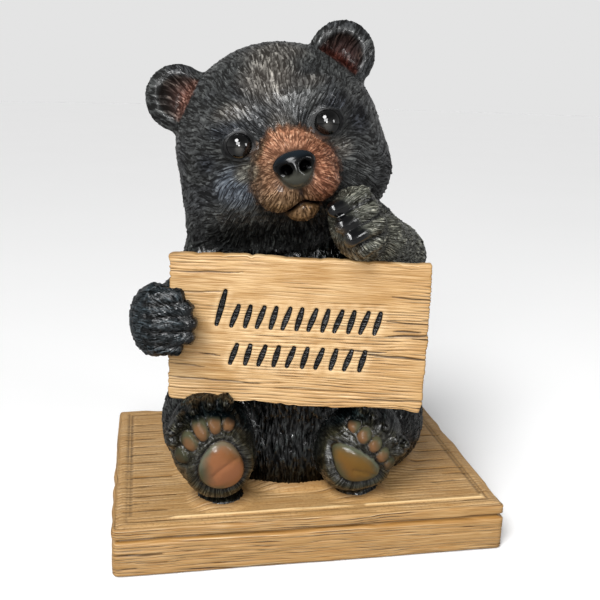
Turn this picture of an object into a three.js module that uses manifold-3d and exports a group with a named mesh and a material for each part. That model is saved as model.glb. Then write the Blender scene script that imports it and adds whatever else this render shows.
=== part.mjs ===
// Seated bear cub holding a sign board, on a rectangular plinth. Millimetres, +Z up.
// Origin: centre of the plinth's underside. The cub faces -Y; left and right are as seen from the front.
import * as THREE from 'three';
import { SimplifyModifier } from 'three/addons/modifiers/SimplifyModifier.js';
import { mergeVertices } from 'three/addons/utils/BufferGeometryUtils.js';
import Module from 'manifold-3d';

// ---- Driving dimensions ----------------------------------------------------------------------
const GAP = 0.3;                 // clearance kept between touching pieces

const PLINTH_WIDTH = 130;
const PLINTH_DEPTH = 97.5;
const PLINTH_HEIGHT = 17.1;
const PLINTH_LOWER_HEIGHT = 11.4;   // block under the moulded groove
const PLINTH_GROOVE_DEPTH = 2.2;
const PLINTH_EDGE = 1.1;            // chamfer round the top and bottom edges
const BORDER_INSET = 5.4;           // incised border line on the top, from the edges
const BORDER_WIDTH = 0.9;
const BORDER_DEPTH = 0.6;
const PLINTH_CORNER = 2.4;          // radius of its upright edges

const BEAR_FOOT_Z = PLINTH_HEIGHT + GAP;   // height of the flat under the cub

const SIGN_WIDTH = 84;
const SIGN_HEIGHT = 49;
const SIGN_THICKNESS = 4.4;
const SIGN_CENTRE = [-5.7, -36, 75.8];     // centre of the front face
const SIGN_YAW = -14.4;
const SIGN_LEAN = -2.3;
const SIGN_ROLL = 0.6;

const HEAD_CENTRE = [-5.9, -3, 132.3];
const HEAD_YAW = -8;
const HEAD_LIFT = 8;
const HEAD_ROLL = 16;
const EYE_PLACE = [14, 27.8, 2.6];         // in the head's frame, mirrored for the other eye
const EYE_RADIUS = 4.7;

const BEAR_CELL = 2.1;           // spacing of the grid that the cub is sampled on
const BEAR_CORNERS = 3660;       // corners kept when the sampled surface is thinned

// ---- Frames ----------------------------------------------------------------------------------
const radians = THREE.MathUtils.degToRad;

/** Frame of a part that faces -Y: columns are its right, its front and its up. */
function facingFrame(yaw, lift, roll) {
  const [a, e, r] = [radians(yaw), radians(lift), radians(roll)];
  const front = new THREE.Vector3(Math.sin(a) * Math.cos(e), -Math.cos(a) * Math.cos(e), Math.sin(e));
  const side = new THREE.Vector3(Math.cos(a), Math.sin(a), 0);
  const up = new THREE.Vector3().crossVectors(side, front).negate();
  if (up.z < 0) {
    up.negate();
  }
  const right = side.clone().multiplyScalar(Math.cos(r)).addScaledVector(up, Math.sin(r));
  const top = up.clone().multiplyScalar(Math.cos(r)).addScaledVector(side, -Math.sin(r));
  return [right.toArray(), front.toArray(), top.toArray()];
}

const WORLD = [[1, 0, 0], [0, 1, 0], [0, 0, 1]];
const HEAD_FRAME = facingFrame(HEAD_YAW, HEAD_LIFT, HEAD_ROLL);

/** World place of a point given in a frame. */
function placed(origin, frame, [a, b, c]) {
  return [0, 1, 2].map((k) => origin[k] + frame[0][k] * a + frame[1][k] * b + frame[2][k] * c);
}

const onHead = (...point) => placed(HEAD_CENTRE, HEAD_FRAME, point);

// ---- Rounded forms, as signed distances (negative inside) --------------------------------------
function ellipsoid(centre, [ra, rb, rc], frame = WORLD) {
  const [fa, fb, fc] = frame;
  return (x, y, z) => {
    const [dx, dy, dz] = [x - centre[0], y - centre[1], z - centre[2]];
    const a = (dx * fa[0] + dy * fa[1] + dz * fa[2]) / ra;
    const b = (dx * fb[0] + dy * fb[1] + dz * fb[2]) / rb;
    const c = (dx * fc[0] + dy * fc[1] + dz * fc[2]) / rc;
    const scaled = Math.hypot(a, b, c);
    const slope = Math.max(Math.hypot(a / ra, b / rb, c / rc), 1e-9);
    return scaled * (scaled - 1) / slope;
  };
}

function capsule(from, to, radiusFrom, radiusTo) {
  const axis = [to[0] - from[0], to[1] - from[1], to[2] - from[2]];
  const lengthSquared = axis[0] ** 2 + axis[1] ** 2 + axis[2] ** 2;
  return (x, y, z) => {
    const [dx, dy, dz] = [x - from[0], y - from[1], z - from[2]];
    const along = THREE.MathUtils.clamp((dx * axis[0] + dy * axis[1] + dz * axis[2]) / lengthSquared, 0, 1);
    const apart = Math.hypot(dx - axis[0] * along, dy - axis[1] * along, dz - axis[2] * along);
    return apart - radiusFrom - (radiusTo - radiusFrom) * along;
  };
}

function blendedMin(a, b, blend) {
  const overlap = Math.max(blend - Math.abs(a - b), 0) / blend;
  return Math.min(a, b) - overlap * overlap * blend / 4;
}

/** Union of forms; each is flowed into the ones before it over its blend width. */
function union(first, ...rest) {
  return (x, y, z) => {
    const joined = (d, [form, blend]) => blendedMin(d, form(x, y, z), blend);
    return rest.reduce(joined, first(x, y, z));
  };
}

/** A form with another one hollowed out of it, the lip rounded over the blend width. */
function hollowed(form, cutter, blend) {
  return (x, y, z) => -blendedMin(-form(x, y, z), cutter(x, y, z), blend);
}

// ---- Head ------------------------------------------------------------------------------------
const headForm = (place, radii) => ellipsoid(onHead(...place), radii, HEAD_FRAME);

function skullForm() {
  const forms = [];
  for (const side of [-1, 1]) {
    const cheek = headForm([side * 18.4 - 1.8, 0, -13.2], [16.9, 18.4, 14.8]);
    const brow = headForm([side * 12.2, 23.5, 10.5], [9.5, 6.5, 5.5]);
    forms.push([cheek, 8], [brow, 8]);
  }
  return union(headForm([-1.2, -1, 0.6], [35.3, 32, 34.9]), ...forms);
}

function muzzleForm() {
  const bridge = headForm([0.3, 26.8, -2.5], [7.6, 8.5, 6.6]);
  const snout = union(headForm([0.6, 25.5, -9.2], [13, 15, 11.2]), [bridge, 5]);
  const leftLip = headForm([-5.1, 31.6, -14.3], [7.7, 8.6, 6.3]);
  const rightLip = headForm([5.7, 31.6, -13.9], [7.7, 8.6, 6.3]);
  return union(snout, [union(leftLip, [rightLip, 1.2]), 2.5]);
}

function noseForm() {
  const lower = headForm([0.4, 40, -10.8], [4.5, 4, 3.7]);
  const pad = union(headForm([0.5, 40, -7.2], [6.6, 4.2, 3.9]), [lower, 2.5]);
  const nostril = (side) => headForm([0.5 + side * 3.3, 44, -8.8], [1.9, 2.4, 1.7]);
  return hollowed(hollowed(pad, nostril(-1), 0.8), nostril(1), 0.8);
}

function earForm(side) {
  const disc = headForm([side * 28.6 - 1, -1, 25.1], [10.8, 4.8, 11]);
  const cup = headForm([side * 28.2 - 1, 4.8, 24.9], [7.9, 5.6, 8.2]);
  return hollowed(disc, cup, 1.8);
}

function headShape() {
  const [ex, ey, ez] = EYE_PLACE;
  const chin = headForm([0, 28.8, -20.6], [5.5, 6.5, 4.3]);
  let head = union(skullForm(), [muzzleForm(), 5], [chin, 1]);
  for (const side of [-1, 1]) {
    const hollow = headForm([side * ex, ey + 3.8, ez], [6, 5, 5.2]);
    const lid = headForm([side * ex, ey - 1.9, ez], [6.1, 5.2, 5.9]);
    head = union(hollowed(head, hollow, 3), [lid, 1.5]);
  }
  return union(head, [earForm(-1), 3.5], [earForm(1), 3.5], [noseForm(), 0.7]);
}

// ---- Body and legs ---------------------------------------------------------------------------
function torsoForm() {
  const seat = ellipsoid([2, 5, 42], [41, 34, 36]);
  const lap = ellipsoid([-2, -8, 26], [27, 22.5, 20]);
  const chest = ellipsoid([-2, 4, 87], [31, 26, 32]);
  const belly = ellipsoid([3, -13, 66], [27, 21, 25]);
  const tail = ellipsoid([3, 38.5, 31], [6.5, 6, 7]);
  return union(seat, [lap, 6], [chest, 24], [belly, 10], [tail, 4]);
}

function thighsForm() {
  const left = ellipsoid([-31.5, -5, 35], [17, 26, 19.5], facingFrame(-3, 0, 0));
  const right = ellipsoid([32.5, -4, 32], [16.6, 27, 18], facingFrame(-20, 0, 0));
  return union(left, [right, 4]);
}

/** A foot seen sole on: pads and toes are given across and up the sole. */
const LEFT_FOOT = {
  centre: [-32.5, -31, 36.6],
  frame: facingFrame(-8, 8, 20),
  radii: [14, 13.5, 18.4],
  pad: [0.8, -6.5],
  toes: [[-8.2, 2.8], [-4.4, 7], [0.2, 8.9], [4.8, 9.1], [8.8, 7.6]],
};
const RIGHT_FOOT = {
  centre: [17.6, -32, 34],
  frame: facingFrame(6, 8, -38),
  radii: [14, 13.5, 16.8],
  pad: [-0.6, -6],
  toes: [[-9.6, 4.2], [-5, 4.6], [-0.4, 4.2], [4.4, 3.2], [8.6, 1.6]],
};

/** Point on the sole of a foot, sunk below the skin or standing proud of it. */
function onSole(foot, across, up, proud) {
  const reach = Math.sqrt(Math.max(0, 1 - (across / foot.radii[0]) ** 2 - (up / foot.radii[2]) ** 2));
  return placed(foot.centre, foot.frame, [across, foot.radii[1] * reach + proud, up]);
}

function footForm(foot) {
  const parts = [[ellipsoid(onSole(foot, ...foot.pad, -2.2), [8.4, 3.8, 8.6], foot.frame), 1.2]];
  for (const [across, up] of foot.toes) {
    const toePad = ellipsoid(onSole(foot, across, up, -1), [2.6, 3.2, 3.2], foot.frame);
    const toeTip = placed(foot.centre, foot.frame, [across * 1.06, 8, up + 5]);
    parts.push([toePad, 1.6], [ellipsoid(toeTip, [2.9, 4.5, 3.4], foot.frame), 1.8]);
  }
  return union(ellipsoid(foot.centre, foot.radii, foot.frame), ...parts);
}

// ---- Arms ------------------------------------------------------------------------------------
/** The arm that holds the sign by its left edge, with its fingers over the front. */
function holdingArmForm() {
  const palmHeight = 79.5;
  const fingers = [[90, -45], [85.5, -41.1], [80.7, -40.1], [75.9, -40.9], [71.3, -43.9]];
  const parts = [
    [capsule([-38, -10, 84], [-46, -24, 81], 10, 9.5), 5],
    [ellipsoid([-48.2, -28, 79.2], [10.2, 12.2, 12.4]), 3],
  ];
  for (const [height, reach] of fingers) {
    const front = -36.5 + Math.abs(height - palmHeight) * 0.18;
    const root = palmHeight + (height - palmHeight) * 0.93;
    parts.push([capsule([-50.5, front, root], [reach, front - 0.5, height], 3, 2.6), 1.3]);
  }
  return union(capsule([-27, 0, 101], [-38, -10, 84], 12, 10), ...parts);
}

/** The raised arm, elbow out and the paw at the corner of the mouth. */
function raisedArmForm() {
  const elbow = [33, -10, 93.8];
  return union(
    capsule([24, 2, 102], elbow, 12.2, 10),
    [capsule(elbow, [23, -27, 103.5], 10, 8.6), 4],
    [ellipsoid([13.2, -36, 111.2], [9.2, 7.8, 12.4], facingFrame(-6, 0, 20)), 3],
    [capsule([14.2, -39.5, 118.8], [5.6, -42.5, 119.5], 3.2, 2.7), 1.4],
    [capsule([15.2, -41, 114.2], [7.1, -44.5, 114.4], 3.2, 2.8), 1.4],
    [capsule([16.2, -41.5, 109.1], [9.8, -45.3, 109.3], 3.1, 2.8), 1.4],
    [capsule([17.2, -40.5, 104.5], [13.2, -44, 104], 3, 2.6), 1.4],
  );
}

function bearShape() {
  return union(
    torsoForm(),
    [thighsForm(), 7],
    [footForm(LEFT_FOOT), 3],
    [footForm(RIGHT_FOOT), 3],
    [holdingArmForm(), 5],
    [headShape(), 7],
    [raisedArmForm(), 2],
  );
}

// ---- Faceting of a rounded shape ---------------------------------------------------------------
/** Evenly spaced grid lines that reach from one end past the other. */
function gridLines(from, to, step) {
  const count = Math.ceil((to - from) / step) + 1;
  return Array.from({ length: count }, (_, n) => from + n * step);
}

/** Closed facets over the zero surface: one corner in each crossed cell, one quad per crossed line. */
function facetedSurface(shape, xs, ys, zs) {
  const [nx, ny, nz] = [xs.length, ys.length, zs.length];
  const at = (i, j, k) => (k * ny + j) * nx + i;
  const values = new Float64Array(nx * ny * nz);
  for (let k = 0; k < nz; k += 1) {
    for (let j = 0; j < ny; j += 1) {
      for (let i = 0; i < nx; i += 1) {
        values[at(i, j, k)] = shape(xs[i], ys[j], zs[k]);
      }
    }
  }
  closePinches(values, at, [nx, ny, nz]);
  const corners = [];
  const cornerOf = new Int32Array(nx * ny * nz).fill(-1);
  for (let k = 0; k < nz - 1; k += 1) {
    for (let j = 0; j < ny - 1; j += 1) {
      for (let i = 0; i < nx - 1; i += 1) {
        const crossing = meanCrossing(values, at, [xs, ys, zs], [i, j, k]);
        if (crossing) {
          cornerOf[at(i, j, k)] = corners.length;
          corners.push(settled(shape, crossing));
        }
      }
    }
  }
  const triangles = [];
  for (let k = 1; k < nz - 1; k += 1) {
    for (let j = 1; j < ny - 1; j += 1) {
      for (let i = 1; i < nx - 1; i += 1) {
        const here = values[at(i, j, k)] < 0;
        for (let axis = 0; axis < 3; axis += 1) {
          const [di, dj, dk] = AXIS_STEPS[axis];
          if (here === values[at(i + di, j + dj, k + dk)] < 0) {
            continue;
          }
          const [u, v] = [AXIS_STEPS[(axis + 1) % 3], AXIS_STEPS[(axis + 2) % 3]];
          const cell = (a, b) => {
            const back = [0, 1, 2].map((n) => a * u[n] + b * v[n]);
            return cornerOf[at(i - back[0], j - back[1], k - back[2])];
          };
          const quad = [cell(1, 1), cell(0, 1), cell(0, 0), cell(1, 0)];
          addQuad(triangles, corners, here ? quad : quad.reverse());
        }
      }
    }
  }
  return { corners, triangles };
}

const AXIS_STEPS = [[1, 0, 0], [0, 1, 0], [0, 0, 1]];

/** Fills the shallower outside corner of each grid face whose inside corners only touch diagonally. */
function closePinches(values, at, [nx, ny, nz]) {
  const barelyInside = -1e-3;
  let open = true;
  while (open) {
    open = false;
    for (let k = 0; k < nz - 1; k += 1) {
      for (let j = 0; j < ny - 1; j += 1) {
        for (let i = 0; i < nx - 1; i += 1) {
          for (let axis = 0; axis < 3; axis += 1) {
            const [u, v] = [AXIS_STEPS[(axis + 1) % 3], AXIS_STEPS[(axis + 2) % 3]];
            const face = [[0, 0], [1, 0], [1, 1], [0, 1]].map(([a, b]) => (
              at(i + a * u[0] + b * v[0], j + a * u[1] + b * v[1], k + a * u[2] + b * v[2])));
            const inside = face.map((node) => values[node] < 0);
            if (inside[0] !== inside[2] || inside[1] !== inside[3] || inside[0] === inside[1]) {
              continue;
            }
            const outside = face.filter((node) => values[node] >= 0);
            const shallower = values[outside[0]] < values[outside[1]] ? outside[0] : outside[1];
            values[shallower] = barelyInside;
            open = true;
          }
        }
      }
    }
  }
}

/** Mean of the places where the surface crosses a cell's twelve edges, or null. */
function meanCrossing(values, at, lines, [i, j, k]) {
  const sum = [0, 0, 0];
  let count = 0;
  const corner = (bits) => [i + (bits & 1), j + ((bits >> 1) & 1), k + ((bits >> 2) & 1)];
  for (let bits = 0; bits < 8; bits += 1) {
    for (const flip of [1, 2, 4]) {
      if (bits & flip) {
        continue;
      }
      const [a, b] = [corner(bits), corner(bits | flip)];
      const [va, vb] = [values[at(...a)], values[at(...b)]];
      if ((va < 0) === (vb < 0)) {
        continue;
      }
      const share = va / (va - vb);
      for (let n = 0; n < 3; n += 1) {
        sum[n] += lines[n][a[n]] + (lines[n][b[n]] - lines[n][a[n]]) * share;
      }
      count += 1;
    }
  }
  return count ? sum.map((s) => s / count) : null;
}

/** The point moved along the slope of the shape until it lies on the surface. */
function settled(shape, point) {
  const probe = 0.05;
  const farthest = 1.2;
  let [x, y, z] = point;
  for (let round = 0; round < 3; round += 1) {
    const d = shape(x, y, z);
    const slope = [
      (shape(x + probe, y, z) - shape(x - probe, y, z)) / (2 * probe),
      (shape(x, y + probe, z) - shape(x, y - probe, z)) / (2 * probe),
      (shape(x, y, z + probe) - shape(x, y, z - probe)) / (2 * probe),
    ];
    const steepness = Math.max(slope[0] ** 2 + slope[1] ** 2 + slope[2] ** 2, 0.05);
    const move = THREE.MathUtils.clamp(-d / steepness, -farthest, farthest);
    x += slope[0] * move;
    y += slope[1] * move;
    z += slope[2] * move;
  }
  return [x, y, z];
}

/** Two triangles for a quad, split along its shorter diagonal. */
function addQuad(triangles, corners, [a, b, c, d]) {
  const apart = (m, n) => Math.hypot(...[0, 1, 2].map((axis) => corners[m][axis] - corners[n][axis]));
  if (apart(a, c) <= apart(b, d)) {
    triangles.push(a, b, c, a, c, d);
  } else {
    triangles.push(a, b, d, b, c, d);
  }
}

// ---- Solids ----------------------------------------------------------------------------------
const wasm = await Module();
wasm.setup();

function solidFromTriangles(positions, triangles) {
  return new wasm.Manifold(new wasm.Mesh({
    numProp: 3,
    vertProperties: new Float32Array(positions),
    triVerts: new Uint32Array(triangles),
  }));
}

function solidFromGeometry(geometry) {
  const bare = geometry.clone();
  bare.deleteAttribute('normal');
  bare.deleteAttribute('uv');
  const merged = mergeVertices(bare, 1e-4);
  return solidFromTriangles(merged.attributes.position.array, merged.index.array);
}

function geometryFromSolid(solid) {
  const mesh = solid.getMesh();
  const geometry = new THREE.BufferGeometry();
  geometry.setAttribute('position', new THREE.BufferAttribute(new Float32Array(mesh.vertProperties), 3));
  geometry.setIndex(new THREE.BufferAttribute(new Uint32Array(mesh.triVerts), 1));
  geometry.computeVertexNormals();
  return geometry;
}

/** The main body of a cut solid, without crumbs left at the rim of a cut. */
function largestBody(solid) {
  const bodies = solid.decompose();
  return bodies.reduce((best, body) => (body.volume() > best.volume() ? body : best));
}

/** A box as a solid, from its lowest and highest corners. */
function boxSolid(low, high) {
  const size = [0, 1, 2].map((k) => high[k] - low[k]);
  const box = new THREE.BoxGeometry(...size);
  box.translate(low[0] + size[0] / 2, low[1] + size[1] / 2, low[2] + size[2] / 2);
  return solidFromGeometry(box);
}

// ---- Sign board --------------------------------------------------------------------------------
const SIGN_TURN = new THREE.Euler(radians(SIGN_LEAN), radians(SIGN_ROLL), radians(SIGN_YAW), 'ZXY');

/** A shape given in the board's own frame: X along it, Z up it, front face at Y = 0. */
function setInSign(geometry) {
  const turn = new THREE.Matrix4().makeRotationFromEuler(SIGN_TURN);
  return geometry.clone().applyMatrix4(turn.setPosition(...SIGN_CENTRE));
}

/** Uneven board outline: corners knocked off and edges a little wavy, grown by a margin. */
function boardOutline(margin) {
  const [halfWidth, halfHeight] = [SIGN_WIDTH / 2 + margin, SIGN_HEIGHT / 2 + margin];
  const knock = 1.2;
  const waviness = 0.35;
  const perEdge = 7;
  const points = [];
  const edge = (from, to, phase) => {
    for (let n = 0; n <= perEdge; n += 1) {
      const share = n / perEdge;
      const wave = waviness * Math.sin(phase + share * 11) * Math.sin(Math.PI * share);
      const [dx, dz] = [to[0] - from[0], to[1] - from[1]];
      const length = Math.hypot(dx, dz);
      const along = [from[0] + dx * share, from[1] + dz * share];
      points.push(new THREE.Vector2(along[0] + dz / length * wave, along[1] - dx / length * wave));
    }
  };
  edge([-halfWidth + knock, -halfHeight], [halfWidth - knock * 2, -halfHeight], 0);
  edge([halfWidth, -halfHeight + knock * 2], [halfWidth, halfHeight - knock], 1.3);
  edge([halfWidth - knock, halfHeight], [-halfWidth + knock, halfHeight], 2.6);
  edge([-halfWidth, halfHeight - knock], [-halfWidth, -halfHeight + knock], 3.9);
  return new THREE.Shape(points);
}

/** The board as a slab from its front face back, with a small bevel; margin grows it all round. */
function boardGeometry(margin) {
  const bevel = 0.5;
  const slab = new THREE.ExtrudeGeometry(boardOutline(margin - bevel), {
    depth: SIGN_THICKNESS + 2 * margin - 2 * bevel,
    bevelThickness: bevel,
    bevelSize: bevel,
    bevelSegments: 1,
    curveSegments: 1,
  });
  slab.rotateX(Math.PI / 2);
  slab.translate(0, SIGN_THICKNESS + margin - bevel, 0);
  return setInSign(slab);
}

/** Rows of shallow slanted strokes where an inscription would stand; the first stroke is a tall one. */
const STROKE_ROWS = [
  { height: 11.1, base: 1.7, from: -24.8, to: -24.8, count: 1 },
  { height: 6.7, base: 1.4, from: -20.2, to: 25.8, count: 12 },
  { height: 6.3, base: -11.2, from: -20.4, to: 21.6, count: 10 },
];
const STROKE_WIDTH = 2.1;
const STROKE_DEPTH = 0.5;
const STROKE_LEANS = [14, 19];

function strokeSolids() {
  const strokes = [];
  for (const row of STROKE_ROWS) {
    for (let n = 0; n < row.count; n += 1) {
      const stroke = new THREE.BoxGeometry(STROKE_WIDTH, 2 * STROKE_DEPTH, row.height);
      const share = row.count > 1 ? n / (row.count - 1) : 0;
      stroke.rotateY(radians(STROKE_LEANS[n % 2]));
      stroke.translate(row.from + (row.to - row.from) * share, 0, row.base + row.height / 2);
      strokes.push(solidFromGeometry(setInSign(stroke)));
    }
  }
  return strokes;
}

function signSolid() {
  const board = solidFromGeometry(boardGeometry(0));
  return strokeSolids().reduce((cut, stroke) => cut.subtract(stroke), board);
}

// ---- Plinth ------------------------------------------------------------------------------------
/** A closed loft of rounded rectangles; each level is its height and how far it stands in. */
function loftedSlab(levels, cornerRadius) {
  const cornerSteps = 4;
  const ring = ([height, inset]) => {
    const points = [];
    const radius = cornerRadius - inset / 2;
    const [cx, cy] = [PLINTH_WIDTH / 2 - inset - radius, PLINTH_DEPTH / 2 - inset - radius];
    for (const [sx, sy, start] of [[1, 1, 0], [-1, 1, 90], [-1, -1, 180], [1, -1, 270]]) {
      for (let n = 0; n <= cornerSteps; n += 1) {
        const angle = radians(start + 90 * n / cornerSteps);
        points.push([sx * cx + radius * Math.cos(angle), sy * cy + radius * Math.sin(angle), height]);
      }
    }
    return points;
  };
  const rings = levels.map(ring);
  const around = rings[0].length;
  const positions = rings.flat();
  const triangles = [];
  for (let level = 0; level < rings.length - 1; level += 1) {
    for (let n = 0; n < around; n += 1) {
      const [a, b] = [level * around + n, level * around + (n + 1) % around];
      triangles.push(a, b, b + around, a, b + around, a + around);
    }
  }
  const top = (rings.length - 1) * around;
  for (let n = 1; n < around - 1; n += 1) {
    triangles.push(0, n + 1, n, top, top + n, top + n + 1);
  }
  return solidFromTriangles(positions.flat(), triangles);
}

function plinthSolid() {
  const grooveHalf = PLINTH_GROOVE_DEPTH / 2;
  const grooveLine = PLINTH_LOWER_HEIGHT + grooveHalf;
  const slab = loftedSlab([
    [0, PLINTH_EDGE],
    [PLINTH_EDGE, 0],
    [PLINTH_LOWER_HEIGHT, 0],
    [grooveLine, PLINTH_GROOVE_DEPTH],
    [grooveLine + grooveHalf, 0],
    [PLINTH_HEIGHT - PLINTH_EDGE, 0],
    [PLINTH_HEIGHT, PLINTH_EDGE],
  ], PLINTH_CORNER);
  const [x, y] = [PLINTH_WIDTH / 2 - BORDER_INSET, PLINTH_DEPTH / 2 - BORDER_INSET];
  const floor = PLINTH_HEIGHT - BORDER_DEPTH;
  const above = PLINTH_HEIGHT + 1;
  const outer = boxSolid([-x, -y, floor], [x, y, above]);
  const [innerX, innerY] = [x - BORDER_WIDTH, y - BORDER_WIDTH];
  const inner = boxSolid([-innerX, -innerY, floor - 1], [innerX, innerY, above + 1]);
  return slab.subtract(outer.subtract(inner));
}

// ---- Cub ---------------------------------------------------------------------------------------
function eyeGeometry(side, radius) {
  const eye = new THREE.SphereGeometry(radius, 16, 10);
  const [across, front, up] = EYE_PLACE;
  return eye.translate(...onHead(side * across, front, up));
}

/** The cub's surface, sampled finely and then thinned to large facets where it is plain. */
async function bearGeometry() {
  const low = [-66, -60, -8];     // the grid's corners, well clear of the shape on every side
  const high = [66, 50, 182];
  const lines = low.map((from, axis) => gridLines(from, high[axis], BEAR_CELL));
  const { corners, triangles } = facetedSurface(bearShape(), ...lines);
  const fine = new THREE.BufferGeometry();
  fine.setAttribute('position', new THREE.Float32BufferAttribute(corners.flat(), 3));
  fine.setIndex(triangles);
  return new SimplifyModifier().modify(fine, corners.length - BEAR_CORNERS);
}

async function bearSolid() {
  const cub = solidFromGeometry(await bearGeometry());
  const cutters = [
    boxSolid([-90, -90, -20], [90, 90, BEAR_FOOT_Z]),
    solidFromGeometry(boardGeometry(GAP)),
    solidFromGeometry(eyeGeometry(-1, EYE_RADIUS + GAP)),
    solidFromGeometry(eyeGeometry(1, EYE_RADIUS + GAP)),
  ];
  return largestBody(cutters.reduce((solid, cutter) => solid.subtract(cutter), cub));
}

// ---- The figurine --------------------------------------------------------------------------------
function piece(name, geometry, colour, roughness) {
  const material = new THREE.MeshStandardMaterial({ color: colour, roughness, metalness: 0 });
  const mesh = new THREE.Mesh(geometry, material);
  mesh.name = name;
  return mesh;
}

const WOOD_TAN = '#b98f5a';
const FUR_BLACK = '#26272a';
const EYE_BLACK = '#0b0a0a';

const figurine = new THREE.Group();
figurine.add(
  piece('plinth', geometryFromSolid(plinthSolid()), WOOD_TAN, 0.5),
  piece('bear', geometryFromSolid(await bearSolid()), FUR_BLACK, 0.4),
  piece('sign', geometryFromSolid(signSolid()), WOOD_TAN, 0.5),
  piece('left_eye', eyeGeometry(-1, EYE_RADIUS), EYE_BLACK, 0.1),
  piece('right_eye', eyeGeometry(1, EYE_RADIUS), EYE_BLACK, 0.1),
);

export default figurine;
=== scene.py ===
"""Looks of the seated bear cub figurine: carved fur, wood-look sign and plinth, glossy eyes.

Shapes are worked out in millimetres, in the CAD model's frame, and become metres when a mesh is made.
"""
import math

import bmesh
import bpy
import numpy as np
from mathutils import Matrix, Vector


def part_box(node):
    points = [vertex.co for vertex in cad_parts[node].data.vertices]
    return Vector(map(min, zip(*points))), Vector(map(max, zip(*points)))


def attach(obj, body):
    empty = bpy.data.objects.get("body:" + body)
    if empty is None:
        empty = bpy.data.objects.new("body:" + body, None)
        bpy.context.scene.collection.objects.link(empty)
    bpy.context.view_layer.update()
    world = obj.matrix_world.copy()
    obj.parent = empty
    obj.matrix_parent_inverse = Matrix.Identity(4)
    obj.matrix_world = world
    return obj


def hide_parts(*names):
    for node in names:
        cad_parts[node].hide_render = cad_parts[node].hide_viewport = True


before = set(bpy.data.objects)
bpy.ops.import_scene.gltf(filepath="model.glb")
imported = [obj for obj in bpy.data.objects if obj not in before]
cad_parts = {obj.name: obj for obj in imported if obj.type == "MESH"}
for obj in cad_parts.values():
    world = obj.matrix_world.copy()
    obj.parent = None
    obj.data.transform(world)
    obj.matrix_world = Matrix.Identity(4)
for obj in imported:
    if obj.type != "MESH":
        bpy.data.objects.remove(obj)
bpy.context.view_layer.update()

MM = 0.001
BEAR_CELL = 0.46  # spacing of the net that the cub is drawn with
BEAR_TRIANGLES, SIGN_TRIANGLES, PLINTH_TRIANGLES = 198000, 170000, 190000
BAND = 7.0  # how near the surface a form's distance has to be right
SUNK = 0.5  # how deep the cub stands in the plinth, and the sign in its paw
MARGIN = 3.0  # room for the net outside the CAD model's box


def node_box(name):
    """Lowest and highest corners of a CAD node, in millimetres."""
    low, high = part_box(name)
    return np.array(low) / MM, np.array(high) / MM


PLINTH_LOW, PLINTH_HIGH = node_box("plinth")
PLINTH_TOP = PLINTH_HIGH[2]


# ---- Numbers over many points ----
HASH_STEPS = (73856093, 19349663, 83492791)  # large odd numbers that scatter the noise's whole numbers
HASH_SEED, HASH_FIRST, HASH_SECOND = 2654435761, 1274126177, 2246822519
HASH_BITS, NOISE_BITS = 0x7FFFFFFF, 0xFFFF


def ramp(value, start, end):
    """0 at start, 1 at end, eased between."""
    t = np.clip((value - start) / (end - start), 0, 1)
    return t * t * (3 - 2 * t)


def dot(a, b):
    return np.einsum("ij,ij->i", a, b)


def length(v):
    return np.sqrt(dot(v, v))


def unit(v):
    return v / np.maximum(length(v), 1e-9)[:, None]


def patch(q, centre, radii):
    """1 at a place, falling softly to 0 at the radii."""
    return ramp(length((q - centre) / radii), 1.0, 0.35)


def noise(seed, *coordinates):
    """Smooth random values from 0 to 1 over points of two or three coordinates."""
    place, count = np.stack(coordinates, 1), len(coordinates)
    base = np.floor(place).astype(np.int64)
    share = place - base
    share = share * share * (3 - 2 * share)
    total = np.zeros(len(place))
    for corner in range(2 ** count):
        bits = np.array([corner >> k & 1 for k in range(count)])
        mixed = ((base + bits) * HASH_STEPS[:count]).sum(1) + seed * HASH_SEED
        mixed = (mixed ^ mixed >> 13) * HASH_FIRST & HASH_BITS
        mixed = (mixed ^ mixed >> 15) * HASH_SECOND & HASH_BITS
        total += np.prod(np.where(bits, share, 1 - share), 1) * (mixed & NOISE_BITS) / NOISE_BITS
    return total


def srgb(red, green, blue):
    """Linear colour of a paint given by its 0 to 255 screen values."""
    return (np.array([red, green, blue]) / 255.0) ** 2.2


# ---- Frames ----
def facing(yaw=0.0, lift=0.0, roll=0.0):
    """Frame of a part that faces -Y: its columns are its right, its front and its up."""
    a, e, r = np.radians([yaw, lift, roll])
    front = np.array([np.sin(a) * np.cos(e), -np.cos(a) * np.cos(e), np.sin(e)])
    side = np.array([np.cos(a), np.sin(a), 0.0])
    up = np.cross(front, side)
    return np.stack([np.cos(r) * side + np.sin(r) * up, front, np.cos(r) * up - np.sin(r) * side], 1)


def rotation(degrees, axis):
    return Matrix.Rotation(math.radians(degrees), 3, axis)


HEAD_CENTRE = np.array([-5.9, -3.0, 132.3])
HEAD = facing(-8, 8, 16)
EYE = np.array([14.0, 27.8, 2.6])  # in the head's frame, mirrored for the other eye
SIGN_CENTRE = np.array([-5.7, -36.0, 75.8])
SIGN = np.array(rotation(-14.4, "Z") @ rotation(-2.3, "X") @ rotation(0.6, "Y"))
SIGN_SIZE = np.array([84.0, 4.4, 49.0])


def on_head(place):
    return HEAD_CENTRE + HEAD @ np.array(place, float)


def in_head(p):
    """Points in the head's own frame."""
    return (p - HEAD_CENTRE) @ HEAD


# ---- Rounded forms, as signed distances (negative inside) ----
class Form:
    """A solid blob: its distance function and the ball that holds it."""

    def __init__(self, distance, centre, reach):
        self.distance, self.centre, self.reach = distance, np.array(centre, float), float(reach)


def ellipsoid(centre, radii, axes=np.eye(3)):
    centre, radii = np.array(centre, float), np.array(radii, float)

    def distance(p):
        q = (p - centre) @ axes / radii
        scaled = length(q)
        return scaled * (scaled - 1) / np.maximum(length(q / radii), 1e-9)

    return Form(distance, centre, radii.max())


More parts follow.
